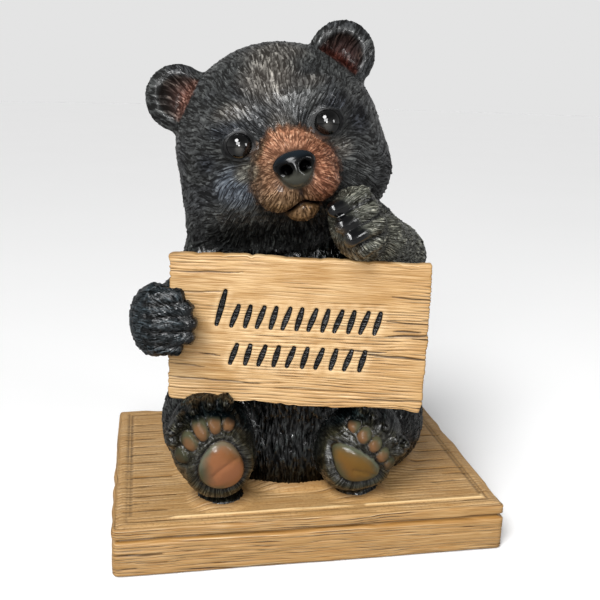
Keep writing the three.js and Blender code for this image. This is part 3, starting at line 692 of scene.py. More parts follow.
def cub_paint(p, q, masks, apart, snout):
    """Two colours at each point: the paint on the fur, and the dry brushing that catches its ridges."""
    share = {name: ramp(gap, 2.2, 0.2) for name, gap in apart.items()}
    cloud, fine = noise(5, *q.T / 9.0), noise(6, *q.T / 3.1)
    coats = [np.tile(srgb(9, 12, 11), (len(p), 1)), np.tile(srgb(44, 50, 46), (len(p), 1))]

    def lay(mask, paint, dry=None):
        for n, colour in enumerate((paint, dry or paint)):
            coats[n] = coats[n] + mask[:, None] * (srgb(*colour) - coats[n])

    right, back, high = p.T
    # Painted light: the back is painted lighter, standing in for the light that the lamps in front don't give
    # it.
    lay(ramp(back, 2, 22), (13, 16, 15), (66, 72, 68))
    lay(share["torso"] * ramp(back, 0, -14), (5, 9, 9), (32, 40, 38))
    x, y, z = q.T
    headward, ear, nose_tip = share["head"], masks["ear"], masks["nose"]
    lay(headward, (57, 59, 59), (102, 104, 102))
    lay(headward * ramp(cloud, 0.55, 0.25) * 0.6, (44, 46, 50), (88, 90, 94))
    for paint, dry, spots in SPOTS:
        for place, radii, strength in spots:
            lay(headward * patch(q, place, radii) * strength, paint, dry)
    lay(headward * ramp(z, -16, -24) * 0.8, (18, 19, 19), (72, 76, 72))
    lay(snout, (126, 90, 64), (200, 160, 128))
    lay(snout * ramp(z, -8, 0), (168, 116, 88), (222, 182, 150))
    lay(snout * ramp(x, 0, 8) * ramp(z, 2, -6), (142, 90, 65), (214, 164, 130))
    lay(snout * ramp(z, -11, -17) * ramp(x, 4, -2), (116, 88, 60), (190, 156, 118))
    lay(snout * ramp(x, -7.5, -12) * 0.7, (106, 82, 60), (184, 154, 124))
    lay(snout * ramp(length(q - (-10, 30, 1)), 6, 3) * 0.8, (100, 88, 68), (172, 158, 130))
    cheek = ramp(length((q - (-13, 27, -6)) * (1, 0.7, 1.5)), 6.5, 3.5)
    lay(headward * cheek * 0.7, (104, 100, 86), (182, 176, 156))
    # Painted shade in the crease between the muzzle and the cheeks, below the eyes.
    crease = ramp(np.abs(muzzle(p) - union(p, SKULL)), 1.5, 0.3) * ramp(y, 18, 24)
    lay(headward * crease * ramp(z, 6, 0) * 0.75, (52, 38, 30), (110, 88, 68))
    lay(masks["chin"], (124, 94, 62), (170, 134, 96))
    lay(masks["mouth"], (16, 11, 10), (30, 22, 20))
    philtrum = ramp(np.abs(x - 0.3), 1.0, 0.3) * ramp(z, -11, -14) * ramp(y, 34, 37)
    lay(philtrum * snout, (40, 22, 16), (52, 30, 22))
    inner = ear * ramp(z, 33, 24) * ramp(np.abs(x), 35, 27)
    lay(ear, (30, 25, 23), (80, 66, 58))
    # Painted light and shade: the left ear, its inside most of all, is painted lighter and the right ear's
    # inside darker, standing in for light from the upper left.
    lay(ear * ramp(x, 5, -5) * 0.8, (62, 59, 57), (150, 142, 134))
    lay(inner * ramp(x, 5, -5), (114, 77, 66), (190, 152, 136))
    lay(inner * ramp(x, -5, 5), (64, 32, 26), (104, 62, 50))
    lay(nose_tip, (9, 11, 13))
    # Painted sheen on the top of the nose, and painted shadow in the black band under its ridge.
    lay(nose_tip * ramp(z, -6.6, -4.6), (26, 32, 37))
    lay(nose_tip * ramp(np.abs(z + 8.2), 2.4, 1.0) * ramp(y, 41, 43), (4, 4, 5))
    lay(nose_tip * ramp(z, -9.6, -11.2) * 0.9, (66, 66, 59))
    lay(masks["nostril"], (3, 3, 4))
    lay(masks["lids"], (5, 5, 7), (16, 17, 20))
    raised = share["raised"]
    lay(raised * ramp(back, 2, -12), (86, 88, 79), (178, 176, 160))
    for claw in RAISED_TIPS:
        rim = ramp(length((p - claw - (-1.6, -0.2, -2.0)) * (1, 0.8, 1.2)), 2.6, 1.4)
        lay(raised * rim * 0.8, (112, 92, 66), (158, 136, 106))
    lay(raised * ramp(right, 15, 9) * ramp(high, 109, 102) * 0.8, (92, 76, 54), (144, 124, 94))
    lay(share["holding"] * ramp(back, -12, -20), (28, 36, 40), (78, 91, 98))
    for name, warm, tilt in (("left_foot", (132, 86, 58), -0.035), ("right_foot", (98, 72, 33), 0.01)):
        foot, near, pad, toes = FEET[name], share[name], masks["pad_" + name], masks["toes_" + name]
        x, y, z = foot.local(p).T
        out, (toe, gap) = foot.pad_reach(x, z), foot.toe_reach(x, z)
        sole = near * ramp(y, 2, 6)
        lay(near * ramp(y, -3, 6), (33, 32, 24), (72, 71, 56))
        lay(sole * ramp(np.abs(out - 1.36), 0.3, 0.1), (44, 43, 31), (92, 89, 70))
        lay(sole * ramp(toe, 2.0, 1.4), (43, 42, 31), (90, 87, 69))
        # Painted shade in the grooves round the toe pads, between the toes and round the main pad.
        toe_gap_shade = ramp(gap, 0.25, 0.08) * ramp(toe, 1.3, 1.1)
        outline = np.maximum(ramp(np.abs(toe - 1.14), 0.13, 0.04), toe_gap_shade)
        lay(sole * outline * 0.85, (13, 12, 9), (22, 20, 16))
        lay(sole * ramp(np.abs(out - 1.06), 0.1, 0.03), (10, 9, 7), (24, 22, 18))
        lay(pad, warm)
        lay(pad * ramp(cloud, 0.4, 0.7) * 0.7, (100, 68, 34))
        lay(pad * ramp(out + 0.5 * (fine - 0.5) + tilt * x, 0.55, 1.0), (62, 64, 49))
        # Painted sheen along the main pad's upper edge.
        lay(pad * ramp(out, 0.75, 0.95) * ramp(z, foot.pad[1], foot.pad[1] + 4) * 0.7, (96, 100, 86))
        lay(toes, (104, 76, 53))
        # Painted sheen on the upper part of each toe pad, in grey-green.
        lay(toes * ramp(foot.toe_reach(x + 0.5, z + 1.3)[0], 0.55, 1.0), (72, 72, 56))
        lay(toes * ramp(x * foot.outward, 5, 8) * 0.8, (50, 50, 39))
        arch = z - 0.06 * x ** 2 * foot.outward * np.sign(x)
        lay(near * ramp(arch, 9.5, 12.5), (11, 17, 19), (54, 66, 66))
        lay(masks["claws_" + name], (16, 16, 14), (86, 84, 70))
    # Painted shade in the gaps between the fingers of both paws.
    for fingers in (RAISED_FINGERS, GRIP_FINGERS):
        first, second = np.sort([finger.distance(p) for finger in fingers], 0)[:2]
        lay(ramp(second - first, 1.3, 0.3) * ramp(first, 2.2, 0.8), (8, 9, 10), (20, 22, 24))
    lay(np.maximum(masks["raised_claws"], masks["grip_claws"]), (10, 11, 13), (24, 26, 30))
    lay(ramp(high, PLINTH_TOP + 2.6, PLINTH_TOP + 1.2), (8, 8, 9), (20, 20, 21))
    return coats


def make_cub():
    low, high = node_box("bear")
    points, quads = netted(cub, low - MARGIN, high + MARGIN, BEAR_CELL)
    points = smoothed(points, quads)
    normals = point_normals(points, quads)
    parts, q = limbs(points), in_head(points)
    nearest = np.min(list(parts.values()), 0)
    apart = {name: d - nearest for name, d in parts.items()}
    masks = hardness(points, q, parts)
    headward = ramp(apart["head"], 3, 0)
    away = q - MUZZLE_POLE
    feather = noise(71, np.arctan2(away[:, 2], away[:, 0]) * 19, length(away) / 4.5) - 0.5
    snout = ramp(muzzle(points) - union(points, SKULL) + 3.2 * feather, 1.6, -1.0)
    snout *= headward * ramp(q[:, 1], 14, 22)
    ruff = headward * ramp(q[:, 2], -6, -18) * ramp(q[:, 1], 26, 8)
    feet = np.maximum(*[ramp(apart[name], 2, 0) for name in FEET])
    paws = np.maximum(ramp(apart["raised"], 2, 0), ramp(apart["holding"], 2, 0))
    # The strokes' length, width and height.
    long = 6.0 - 0.4 * headward + 2.4 * ruff - 2.4 * snout - 2.2 * feet - 1.6 * paws
    wide = 0.7 - 0.06 * headward + 0.3 * ruff - 0.14 * snout - 0.08 * feet - 0.1 * paws
    tall = 0.95 - 0.4 * headward + 0.8 * ruff - 0.15 * snout - 0.35 * feet
    flow = fur_flow(points, apart)
    flow = unit(flow - dot(flow, normals)[:, None] * normals)
    height = brushed(points, normals, flow, long, wide, np.random.default_rng(11))
    partly = {"ear": 0.0, "chin": 0.0, "raised_claws": 0.92, "grip_claws": 0.75,
              "claws_left_foot": 0.0, "claws_right_foot": 0.0}
    hard = np.max([mask * partly.get(name, 1.0) for name, mask in masks.items()], 0)
    tall = tall * (1 - hard) * (1 - 0.4 * masks["ear"]) * (1 - 0.4 * ramp(points[:, 1], 4, 20))
    contact = ramp(board(points, 0.0), 0.0, 0.6) * ramp(points[:, 2], PLINTH_TOP - 0.4, PLINTH_TOP + 0.4)
    lift = (height - 0.45) * tall * contact - 0.7 * masks["mouth"]
    for name, foot in FEET.items():
        lift += foot.carving(points)[2] * ramp(parts[name], 2.5, 0.8)
    dull = ("ear", "chin", "mouth", "lids", "claws_left_foot", "claws_right_foot")
    gloss = np.max([mask for name, mask in masks.items() if name not in dull], 0)
    # How far the painted shade in the fur's valleys is eased: less on the snout, the feet and the head.
    shade_easing = 0.14 * snout + 0.14 * feet + 0.10 * headward * (1 - snout)
    toes = np.maximum(masks["toes_left_foot"], masks["toes_right_foot"])
    pads = np.max([toes, masks["pad_left_foot"], masks["pad_right_foot"]], 0)
    belly = ramp(points[:, 1], 0, -14) * (1 - headward) * ramp(apart["torso"], 3, 0)
    rough = 0.5 - 0.18 * (1 - headward) - 0.24 * gloss - 0.08 * masks["nose"] - 0.08 * belly
    rough += 0.12 * pads - 0.12 * np.maximum(masks["raised_claws"], masks["grip_claws"])
    above = points[:, 2] - PLINTH_TOP
    shine = (1.25 - 0.25 * headward + 0.35 * belly) * (1 - masks["mouth"]) * (1 - masks["nostril"])
    for mask, dimmed in ((masks["lids"], 0.75), (pads, 0.6), (toes, 0.7), (masks["nose"], 0.45),
                         (masks["ear"], 0.45), (headward * patch(q, (-1, 28, 3), (13, 10, 8)), 0.75),
                         (belly * ramp(above, 18, 3), 0.8), (feet * ramp(above, 27, 33), 0.7)):
        shine *= 1 - dimmed * mask
    paint, dry = cub_paint(points, q, masks, apart, snout)
    piece = make_object("bear_figure", points + normals * lift[:, None], quads, paint=paint.T, brushed=dry.T,
                        finish=(rough, height, 1 - hard), comb=comb_place(points, parts, snout).T,
                        tuft=(shine, shade_easing, gloss))
    return thinned(piece, BEAR_TRIANGLES)


# ---- Materials ----
class Nodes:
    """Short way to make and join the nodes of a material, or of the world."""

    def __init__(self, owner, shader="Principled BSDF"):
        owner.use_nodes = True
        self.owner, self.tree = owner, owner.node_tree
        self.shader = self.tree.nodes[shader]

    def feed(self, socket, value):
        """Links a socket to another one, or sets its number, numbers or colour."""
        if isinstance(value, bpy.types.NodeSocket):
            self.tree.links.new(value, socket)
        else:
            socket.default_value = (*value, 1.0) if socket.type == "RGBA" else value

    def node(self, kind, values=None, **settings):
        made = self.tree.nodes.new(kind)
        for key, value in settings.items():
            setattr(made, key, value)
        for key, value in (values or {}).items():
            self.feed(made.inputs[key], value)
        return made

    def join(self, **values):
        for name, value in values.items():
            self.feed(self.shader.inputs[name.replace("_", " ")], value)
        return self.owner

    def parts(self, vector):
        return self.node("ShaderNodeSeparateXYZ", {"Vector": vector}).outputs

    def field(self, name, kind="Vector"):
        return self.node("ShaderNodeAttribute", attribute_name=name).outputs[kind]

    def object_place(self):
        return self.node("ShaderNodeTexCoord").outputs["Object"]

    def camera_sees(self):
        return self.node("ShaderNodeLightPath").outputs["Is Camera Ray"]

    def math(self, operation, a, b=0.0):
        return self.node("ShaderNodeMath", {0: a, 1: b}, operation=operation).outputs[0]

    def times(self, a, b):
        return self.math("MULTIPLY", a, b)

    def less(self, a, b):
        return self.math("SUBTRACT", a, b)

    def between(self, factor, a, b):
        return self.math("ADD", a, self.times(factor, self.less(b, a)))

    def noise(self, vector, scale, detail=2.0, roughness=0.5):
        values = {"Vector": vector, "Scale": scale, "Detail": detail, "Roughness": roughness}
        return self.node("ShaderNodeTexNoise", values).outputs["Fac"]

    def stretched(self, vector, scale):
        return self.node("ShaderNodeMapping", {"Vector": vector, "Scale": scale}).outputs[0]

    def ramp(self, value, start, end, low=0.0, high=1.0):
        values = {"Value": value, "From Min": start, "From Max": end, "To Min": low, "To Max": high}
        return self.node("ShaderNodeMapRange", values).outputs["Result"]

    def line(self, phase, place, wide, narrow):
        """1 along each grain line, at a place from 0 to 1 within its period."""
        return self.ramp(self.math("ABSOLUTE", self.less(self.math("FRACT", phase), place)), wide, narrow)

    def mix(self, factor, a, b, blend="MIX"):
        values = {0: factor, 6: a, 7: b}
        return self.node("ShaderNodeMix", values, data_type="RGBA", blend_type=blend).outputs[2]

    def bump(self, height, distance, strength, **below):
        values = {"Height": height, "Distance": distance, "Strength": strength, **below}
        return self.node("ShaderNodeBump", values).outputs["Normal"]


def cub_material():
    n = Nodes(bpy.data.materials.new("carved_fur"))
    paint, dry, comb = n.field("paint", "Color"), n.field("brushed", "Color"), n.field("comb")
    rough, height, furry = n.parts(n.field("finish"))
    shine, shade_easing, gloss = n.parts(n.field("tuft"))
    strand = n.noise(comb, 1.9, 2.0, 0.55)
    ridge = n.ramp(strand, 0.43, 0.55)
    patchy = n.noise(n.stretched(comb, (0.5, 0.5, 0.8)), 2.2)
    lit = n.times(n.times(n.ramp(patchy, 0.40, 0.62), n.ramp(height, 0.25, 0.75)), n.times(ridge, furry))
    # Painted shade: the valleys between the strokes and the low places in the fur are darkened to a
    # near-black copy of the paint, less on the snout, the feet and the head.
    low = n.times(n.math("MAXIMUM", n.less(1.0, ridge), n.ramp(height, 0.5, 0.12)), furry)
    low = n.times(low, n.less(0.94, shade_easing))
    colour = n.mix(low, n.mix(lit, paint, dry), n.mix(1.0, paint, (0.10, 0.08, 0.07), "MULTIPLY"))
    blotch = n.noise(n.object_place(), 260.0)
    roughness = n.math("ADD", rough, n.ramp(blotch, 0.3, 0.7, -0.05, 0.07))
    normal = n.bump(blotch, 0.00006, 0.4, Normal=n.bump(n.times(strand, furry), 0.0005, 0.9))
    shine = n.times(shine, n.less(1.0, n.times(low, 0.92)))
    return n.join(Base_Color=colour, Roughness=roughness, Normal=normal,
                  Specular_IOR_Level=n.times(shine, n.ramp(gloss, 0.0, 1.0, 0.5, 0.35)),
                  Coat_Weight=n.times(shine, 0.45), Coat_Roughness=0.07)


# ---- Carved wood ----
GRAIN_DEPTH, GRAIN_LEVEL = 0.4, 0.75  # relief of the grain, and the height in it that stays in place


def rounded_box(counts, low, high, radius):
    """A box with rounded edges, netted evenly: its points, their outward normals and its quads."""
    counts, quads = np.array(counts), []
    for axis in range(3):
        u, v = (axis + 1) % 3, (axis + 2) % 3
        a, b = lattice(range(counts[u]), range(counts[v])).T
        ring = np.empty((len(a), 4, 3), np.int64)
        for corner, (da, db) in enumerate(((0, 0), (1, 0), (1, 1), (0, 1))):
            ring[:, corner, u], ring[:, corner, v] = a + da, b + db
        for level, order in ((0, (0, 3, 2, 1)), (counts[axis], (0, 1, 2, 3))):
            ring[:, :, axis] = level
            quads.append(ring[:, order])
    strides = np.array([1, counts[0] + 1, (counts[0] + 1) * (counts[1] + 1)])
    keys, index = np.unique((np.concatenate(quads) @ strides).ravel(), return_inverse=True)
    p = low + unpacked(keys, strides) / counts * (high - low)
    core = np.clip(p, low + radius, high - radius)
    normal = unit(p - core)
    return core + normal * radius, normal, index.reshape(-1, 4)


class Cracks:
    """Dark splits along the grain, each from one place to another with its own depth and width."""

    def __init__(self, seed, count, low, high, fixed=()):
        self.items, random = list(fixed), np.random.default_rng(seed)
        for _ in range(count):
            u = random.choice([random.uniform(low[0], high[0]),
                               random.choice([low[0], high[0]]) + random.normal(0, 5)])
            v = random.uniform(low[1], high[1])
            span = random.uniform(5, 17) * random.choice([-1, 1])
            self.items.append((u, v, u + span, v + random.normal(0, 0.35), random.uniform(0.2, 0.55),
                               random.uniform(0.12, 0.28)))

    def depth(self, u, v):
        total = np.zeros(len(u))
        for start_u, start_v, end_u, end_v, deep, wide in self.items:
            share = np.clip((u - start_u) / (end_u - start_u), 0, 1)
            line = start_v + (end_v - start_v) * share + 0.1 * np.sin(u * 0.55 + start_v * 3)
            beyond = np.abs(u - (start_u + (end_u - start_u) * share))
            taper = wide * (0.25 + 0.75 * np.sin(np.pi * np.clip(share, 0.02, 0.98)) ** 0.5)
            total = np.maximum(total, deep * ramp(np.hypot(v - line, beyond * 0.3), 1.9 * taper, 0.5 * taper))
        return total


def grain(u, v, seed, pitch, wander=1.0):
    """Which line of the grain each point lies on: a number that grows by one from line to line along v."""
    slow, quick = noise(seed, u / 48, v / 9), noise(seed + 1, u / 9, v / 2.5)
    uneven = noise(seed + 3, u / 70, v / 3.3)
    return v / pitch + wander * (1.8 * slow + 1.5 * uneven + 0.5 * quick)


def grooved(phase, u, v, seed, fade=(-0.1, 0.55)):
    """Each point's groove strength, which changes along and from line to line, and the wood's height."""
    row = np.floor(phase)
    deep = ramp(noise(seed + 2, u / 11, row * 0.9), 0.1, 0.7) * ramp(noise(seed + 4, u / 26, v / 7), *fade)
    return deep, 1 - ramp(np.abs(phase - row - 0.5), 0.3, 0.06) * deep


def wood_material(name, inked):
    """Painted wood look, with ink in the sign's strokes or with a golden groove and shaded top."""
    n = Nodes(bpy.data.materials.new(name))
    deep, cracks_and_groove_shade, extra = n.parts(n.field("carve"))
    board = n.field("board")
    place, marked, _ = n.parts(board)
    side, over, level = n.parts(n.field("grain"))

    def streaks(scale, detail, roughness=0.5, size=1.0):
        return n.noise(n.stretched(board, scale), size, detail, roughness)

    broad, fine = streaks((0.03, 0.0, 0.35), 2.0, 0.6), streaks((0.10, 0.0, 3.4), 1.0)
    worn, streak = streaks((0.07, 0.0, 0.8), 2.0, 0.6), streaks((0.05, 0.0, 1.5), 3.0, 0.65)
    strength = n.times(n.ramp(worn, 0.38, 0.58, 0.2, 1.0), deep)
    thin = n.times(n.between(level, n.line(side, 0.5, 0.19, 0.06), n.line(over, 0.5, 0.11, 0.03)), strength)
    # Painted highlight: a pale line along the lip of each grain line.
    edge = n.times(n.between(level, n.line(side, 0.74, 0.16, 0.02), n.line(over, 0.68, 0.12, 0.02)), strength)
    hair = n.times(n.line(n.times(side, 2.0), 0.12, 0.34, 0.08), n.ramp(streak, 0.58, 0.42))
    hair = n.times(hair, n.less(1.0, level))
    colour = n.mix(n.ramp(broad, 0.38, 0.62), srgb(172, 132, 81), srgb(203, 165, 114))

    def lay(factor, *paint):
        nonlocal colour
        colour = n.mix(factor, colour, srgb(*paint))

    lay(n.ramp(streaks((1.0, 0.0, 1.6), 3.0, size=0.05), 0.42, 0.62, 0.0, 0.6), 214, 180, 132)
    lay(n.ramp(streak, 0.48, 0.34, 0.0, 0.6), 160, 118, 68)
    lay(n.ramp(streak, 0.54, 0.68, 0.0, 0.6), 229, 198, 152)
    if inked:
        lay(n.ramp(place, -30.0, 36.0, 0.08, 0.4), 178, 138, 86)
        lay(n.times(marked, 0.5), 223, 191, 145)
    else:
        # Painted shade: the sides are painted darker than the top.
        lay(n.ramp(level, 0.3, 0.8, 0.72, 0.5), 158, 121, 74)
        speck = n.ramp(streaks((0.9, 0.0, 1.6), 2.0, 0.7), 0.5, 0.36, 0.0, 0.5)
        lay(n.times(speck, level), 128, 92, 52)
    lay(n.ramp(fine, 0.48, 0.36, 0.0, 0.5), 150, 108, 62)
    lay(n.times(hair, 0.6), 138, 98, 54)
    # Painted highlight along the lip of each grain line.
    lay(n.times(edge, n.ramp(level, 0.0, 1.0, 0.65, 0.3)), 242, 220, 179)
    kept = n.ramp(marked, 0.0, 1.0, 0.8, 0.4) if inked else n.ramp(level, 0.0, 1.0, 0.95, 0.22)
    lay(n.times(thin, kept), 80, 49, 22)
    if not inked:
        lay(n.times(extra, 0.7), 170, 116, 44)
        # Painted shadow on the top round the cub, and a painted highlight on the front ridge.
        lay(n.ramp(marked, 0.0, 1.0, 0.0, 0.45), 92, 64, 38)
        lay(n.ramp(marked, -0.1, -0.7, 0.0, 0.8), 232, 200, 148)
    # Dark cracks, and on the plinth painted shade in its grooves.
    lay(n.times(cracks_and_groove_shade, 0.85), 40, 26, 14)
    rough = n.ramp(broad, 0.3, 0.7, 0.55, 0.42)
    if inked:
        ink = n.ramp(extra, 0.45, 0.55)
        lay(ink, 7, 7, 8)
        rough = n.between(ink, rough, 0.26)
    normal = n.bump(n.less(n.times(fine, 0.6), thin), 0.0003, 0.9)
    return n.join(Base_Color=colour, Roughness=rough, Normal=normal,
                  Specular_IOR_Level=n.ramp(fine, 0.3, 0.6, 0.2, 0.5))


# ---- Sign board ----
SIGN_CELLS, SIGN_ROUNDING = (216, 6, 200), 0.55
SIGN_PITCH = 1.05  # from one grain line to the next
INSCRIPTION = [(-24.8, 1.7, 11.1)]  # each stroke's middle, foot and height
INSCRIPTION += [(-20.2 + 46.0 * n / 11, 1.4, 6.7) for n in range(12)]
INSCRIPTION += [(-20.4 + 42.0 * n / 9, -11.2, 6.3) for n in range(10)]
STROKE_WIDTH, INK_DEPTH = 2.1, 0.5
STROKE_LEANS = (14, 19)  # all one way, in degrees
SIGN_CRACKS = (  # where each starts and ends, its depth and its width
    (28.8, 0.6, 43, 1.7, 0.5, 0.3), (22.9, -5.8, 43, -6.4, 0.55, 0.3), (29, 5.5, 43, 5.2, 0.4, 0.22),
    (-41, 11.7, -24, 12.6, 0.35, 0.2), (-42, -12.0, -30, -13.0, 0.35, 0.2), (30, 13.6, 43, 13.2, 0.4, 0.2),
    (-43, -16.8, -12, -17.6, 0.4, 0.2), (18, -21.2, 43, -20.4, 0.4, 0.22), (-43, 18.4, -18, 19.2, 0.4, 0.2),
)


def stroke_reach(x, z):
    """Distance from the short slanted strokes that stand where an inscription would; negative inside."""
    nearest = np.full(len(x), 99.0)
    for n, (middle, base, tall) in enumerate(INSCRIPTION):
        share = np.clip((z - base) / tall, 0, 1)
        line = middle + (share - 0.5) * tall * math.tan(math.radians(STROKE_LEANS[n % 2]))
        half = STROKE_WIDTH / 2 * (0.7 + 0.3 * np.sin(np.pi * share))
        nearest = np.minimum(nearest, np.hypot(x - line, z - (base + share * tall)) - half)
    return nearest


def make_sign():
    half = SIGN_SIZE / 2
    p, normal, quads = rounded_box(SIGN_CELLS, -half, half, SIGN_ROUNDING)
    x, _, z = p.T.copy()
    across, up = x / half[0], z / half[2]
    chip = noise(31, x / 2.2, z / 1.1) ** 3
    edge_z = 0.9 * (noise(32, x / 11, np.sign(z) * 3) - 0.55) - 0.55 * chip
    edge_x = 0.7 * (noise(33, z / 5, np.sign(x) * 3) - 0.55) - 0.5 * chip
    sag = -1.1 * ramp(x, 10, 30) * ramp(x, 42, 36) + 0.5 * ramp(x, 34, 41)
    p[:, 2] += np.sign(z) * edge_z * ramp(np.abs(up), 0.88, 1.0) - 0.6 * sag * ramp(up, -0.86, -1.0)
    p[:, 0] += np.sign(x) * edge_x * ramp(np.abs(across), 0.93, 1.0)
    corner = 0.6 * (ramp(across, 0.9, 1.0) * ramp(up, -0.86, -1.0))
    p[:, 0] -= corner
    p[:, 2] += corner
    split = Cracks(5, 8, (-42, -24), (42, 24), SIGN_CRACKS).depth(x, z)
    phase = grain(x, z, 41, SIGN_PITCH)
    deep, height = grooved(phase, x, z, 41, (0.12, 0.62))
    reach = stroke_reach(x, z)
    facing_out = normal[:, 1] < -0.5
    ink = ramp(reach, 0.15, -0.15) * facing_out
    relief = GRAIN_DEPTH * (height - GRAIN_LEVEL) * (1 - ink) - split - INK_DEPTH * ink
    p[:, 1] -= relief * np.maximum(-normal[:, 1], 0)
    p[:, 1] += (0.42 * (height - GRAIN_LEVEL) - 0.6 * split) * np.maximum(normal[:, 1], 0)
    side = 1 - np.abs(normal[:, 1])
    p += normal * (side * (0.3 * (height - 0.6) - split * 0.8))[:, None]
    world = SIGN_CENTRE + (p + (0, half[1], 0)) @ SIGN.T
    piece = make_object("sign_board", world, quads, board=(x, ramp(reach, 2.6, 0.4), z),
                        carve=(deep, np.clip(split * 2.4, 0, 1), ramp(reach, 1.0, -1.0) * facing_out),
                        grain=(phase, phase, phase * 0))
    return thinned(piece, SIGN_TRIANGLES)


# ---- Plinth ----
PLINTH_CELLS, PLINTH_ROUNDING = (236, 200, 44), 1.3
SIDE_PITCH, TOP_PITCH = 1.0, 1.9
LOWER_HEIGHT = 11.4  # of the part under the groove
GROOVE_HALF, GROOVE_DEPTH = 1.1, 2.2
BORDER_INSET, BORDER_GAP = 3.9, 1.3
CRACK_EDGE = 64.0  # how far out the splits are measured from, at either end of the top
PLINTH_CRACKS = [
    (end * (CRACK_EDGE - start), y, end * (CRACK_EDGE - start - span), y - end * rise, deep, wide)
    for end, rise, deep, wide, rows in (
        (-1, 0.3, 0.5, 0.3, (
            (-38, 2, 15), (-33, 1, 9), (-28, 3, 16), (-21, 1, 10), (-14, 3, 15), (-8, 2, 11), (-2, 1, 15),
            (5, 3, 12), (12, 1, 17), (19, 2, 12), (26, 2, 20), (33, 3, 12))),
        (1, 0.4, 0.55, 0.32, (
            (-30, 6, 13), (-20, 3, 20), (-13, 8, 14), (-5, 2, 24), (3, 9, 12), (9, 2, 19), (17, 6, 16),
            (25, 3, 14), (34, 4, 18))))
    for y, start, span in rows
]


def make_plinth():
    low, high = PLINTH_LOW, PLINTH_HIGH
    p, normal, quads = rounded_box(PLINTH_CELLS, low, high, PLINTH_ROUNDING)
    x, y, z = p.T.copy()
    weight = np.abs(normal) ** 3
    weight /= np.maximum(weight.sum(1), 1e-9)[:, None]
    ends, long_sides, level = weight.T
    top, under, side = level * (normal[:, 2] > 0), level * (normal[:, 2] < 0), 1 - level
    round_side, over_top = grain(x + y, z, 51, SIDE_PITCH), grain(x, y, 53, TOP_PITCH, 0.45)
    side_deep, side_height = grooved(round_side, x + y, z, 51)
    top_deep, top_height = grooved(over_top, x, y, 53)
    deep = level * top_deep + (1 - level) * side_deep
    height = level * (0.7 + 0.25 * top_height) + (1 - level) * side_height
    split = top * Cracks(7, 6, (-62, -45), (62, 45), PLINTH_CRACKS).depth(x, y)
    split += long_sides * Cracks(8, 5, (-62, 1.5), (62, 10)).depth(x * np.sign(-y), z)
    split += ends * Cracks(9, 4, (-46, 1.5), (46, 10)).depth(y * np.sign(x), z)
    along = np.where(ends > long_sides, y + 200 * np.sign(x), x + 400 * np.sign(y))
    wander = 0.5 * (noise(54, along / 17, np.ones(len(z))) - 0.5)
    groove_line = LOWER_HEIGHT + GROOVE_HALF + 0.7 * wander
    groove = ramp(np.abs(z - groove_line), GROOVE_HALF * 1.05, 0.1)
    upper = ramp(z, groove_line + 0.5, groove_line + 1.2)
    worn = noise(55, along / 6.5, z / 3)
    relief = GRAIN_DEPTH * (height - GRAIN_LEVEL) - split + 0.7 * side
    relief -= side * (GROOVE_DEPTH * groove + 0.55 * upper * (worn - 0.25) + 0.25 * (worn - 0.5))
    inset = np.minimum(high[0] - np.abs(x), high[1] - np.abs(y)) + 0.35 * wander
    outer, inner = (ramp(np.abs(inset - line), 0.62, 0.15) * top * ramp(worn, 0.0, 0.3)
                    for line in (BORDER_INSET, BORDER_INSET + BORDER_GAP))
    ridge = inner * ramp(y, -40, -42) * ramp(x, -50, -44) * ramp(x, 62, 58)
    border = np.maximum(outer, inner * (1 - ramp(y, -40, -42)))
    relief += 0.45 * ridge - 0.4 * border
    relief -= 0.5 * (ramp(inset, 2.8, 0.0) * top * (0.5 + worn))
    relief *= 1 - under
    near = cub(np.stack([x, y, np.full(len(x), PLINTH_TOP + 1.0)], 1))
    swell = ramp(near, 4.2, -0.6) * top
    front_lip = ramp(y, -14, -22) * ramp(np.abs(x + 6), 18, 8)
    relief += (1.4 + 0.7 * (worn - 0.5) + 1.2 * front_lip) * swell * (1 - 0.6 * ramp(-near, 2, 6))
    p += normal * relief[:, None]
    p[:, :2] *= 1 + (0.0035 * wander * side)[:, None]
    p[:, 2] = np.maximum(p[:, 2], low[2])
    # Dark cracks, and painted shade in the border grooves on the top.
    cracks_and_groove_shade = np.clip(split * 2.4 + 0.6 * border, 0, 1)
    # Painted shadow along the upper side of the groove, under the overhanging upper slab, deeper towards both
    # ends of the front.
    shadow_deeper_ends = np.maximum(ramp(x, -5, -30), ramp(x, 50, 58)) * (y < 0)
    groove_shadow = np.clip((1.0 + 1.6 * shadow_deeper_ends) * groove, 0, 1) * side
    groove_shadow *= ramp(z, groove_line - 0.5, groove_line + 0.2)
    golden = groove * side * ramp(z, groove_line + 0.1, groove_line - 0.5)
    # Painted shadow on the top round the cub, and, below zero, a painted highlight on the raised ridge along
    # the front.
    painted_shadow_and_highlight = np.clip(ramp(near, 3.0, 0.2) * top, 0, 1) - ridge
    piece = make_object("plinth_block", p, quads, carve=(deep, np.clip(cracks_and_groove_shade + groove_shadow, 0, 1), golden),
                        board=(np.where(ends > 0.5, y, x), painted_shadow_and_highlight, np.where(level > 0.5, y, z)),
                        grain=(round_side, over_top, level))
    return thinned(piece, PLINTH_TRIANGLES)


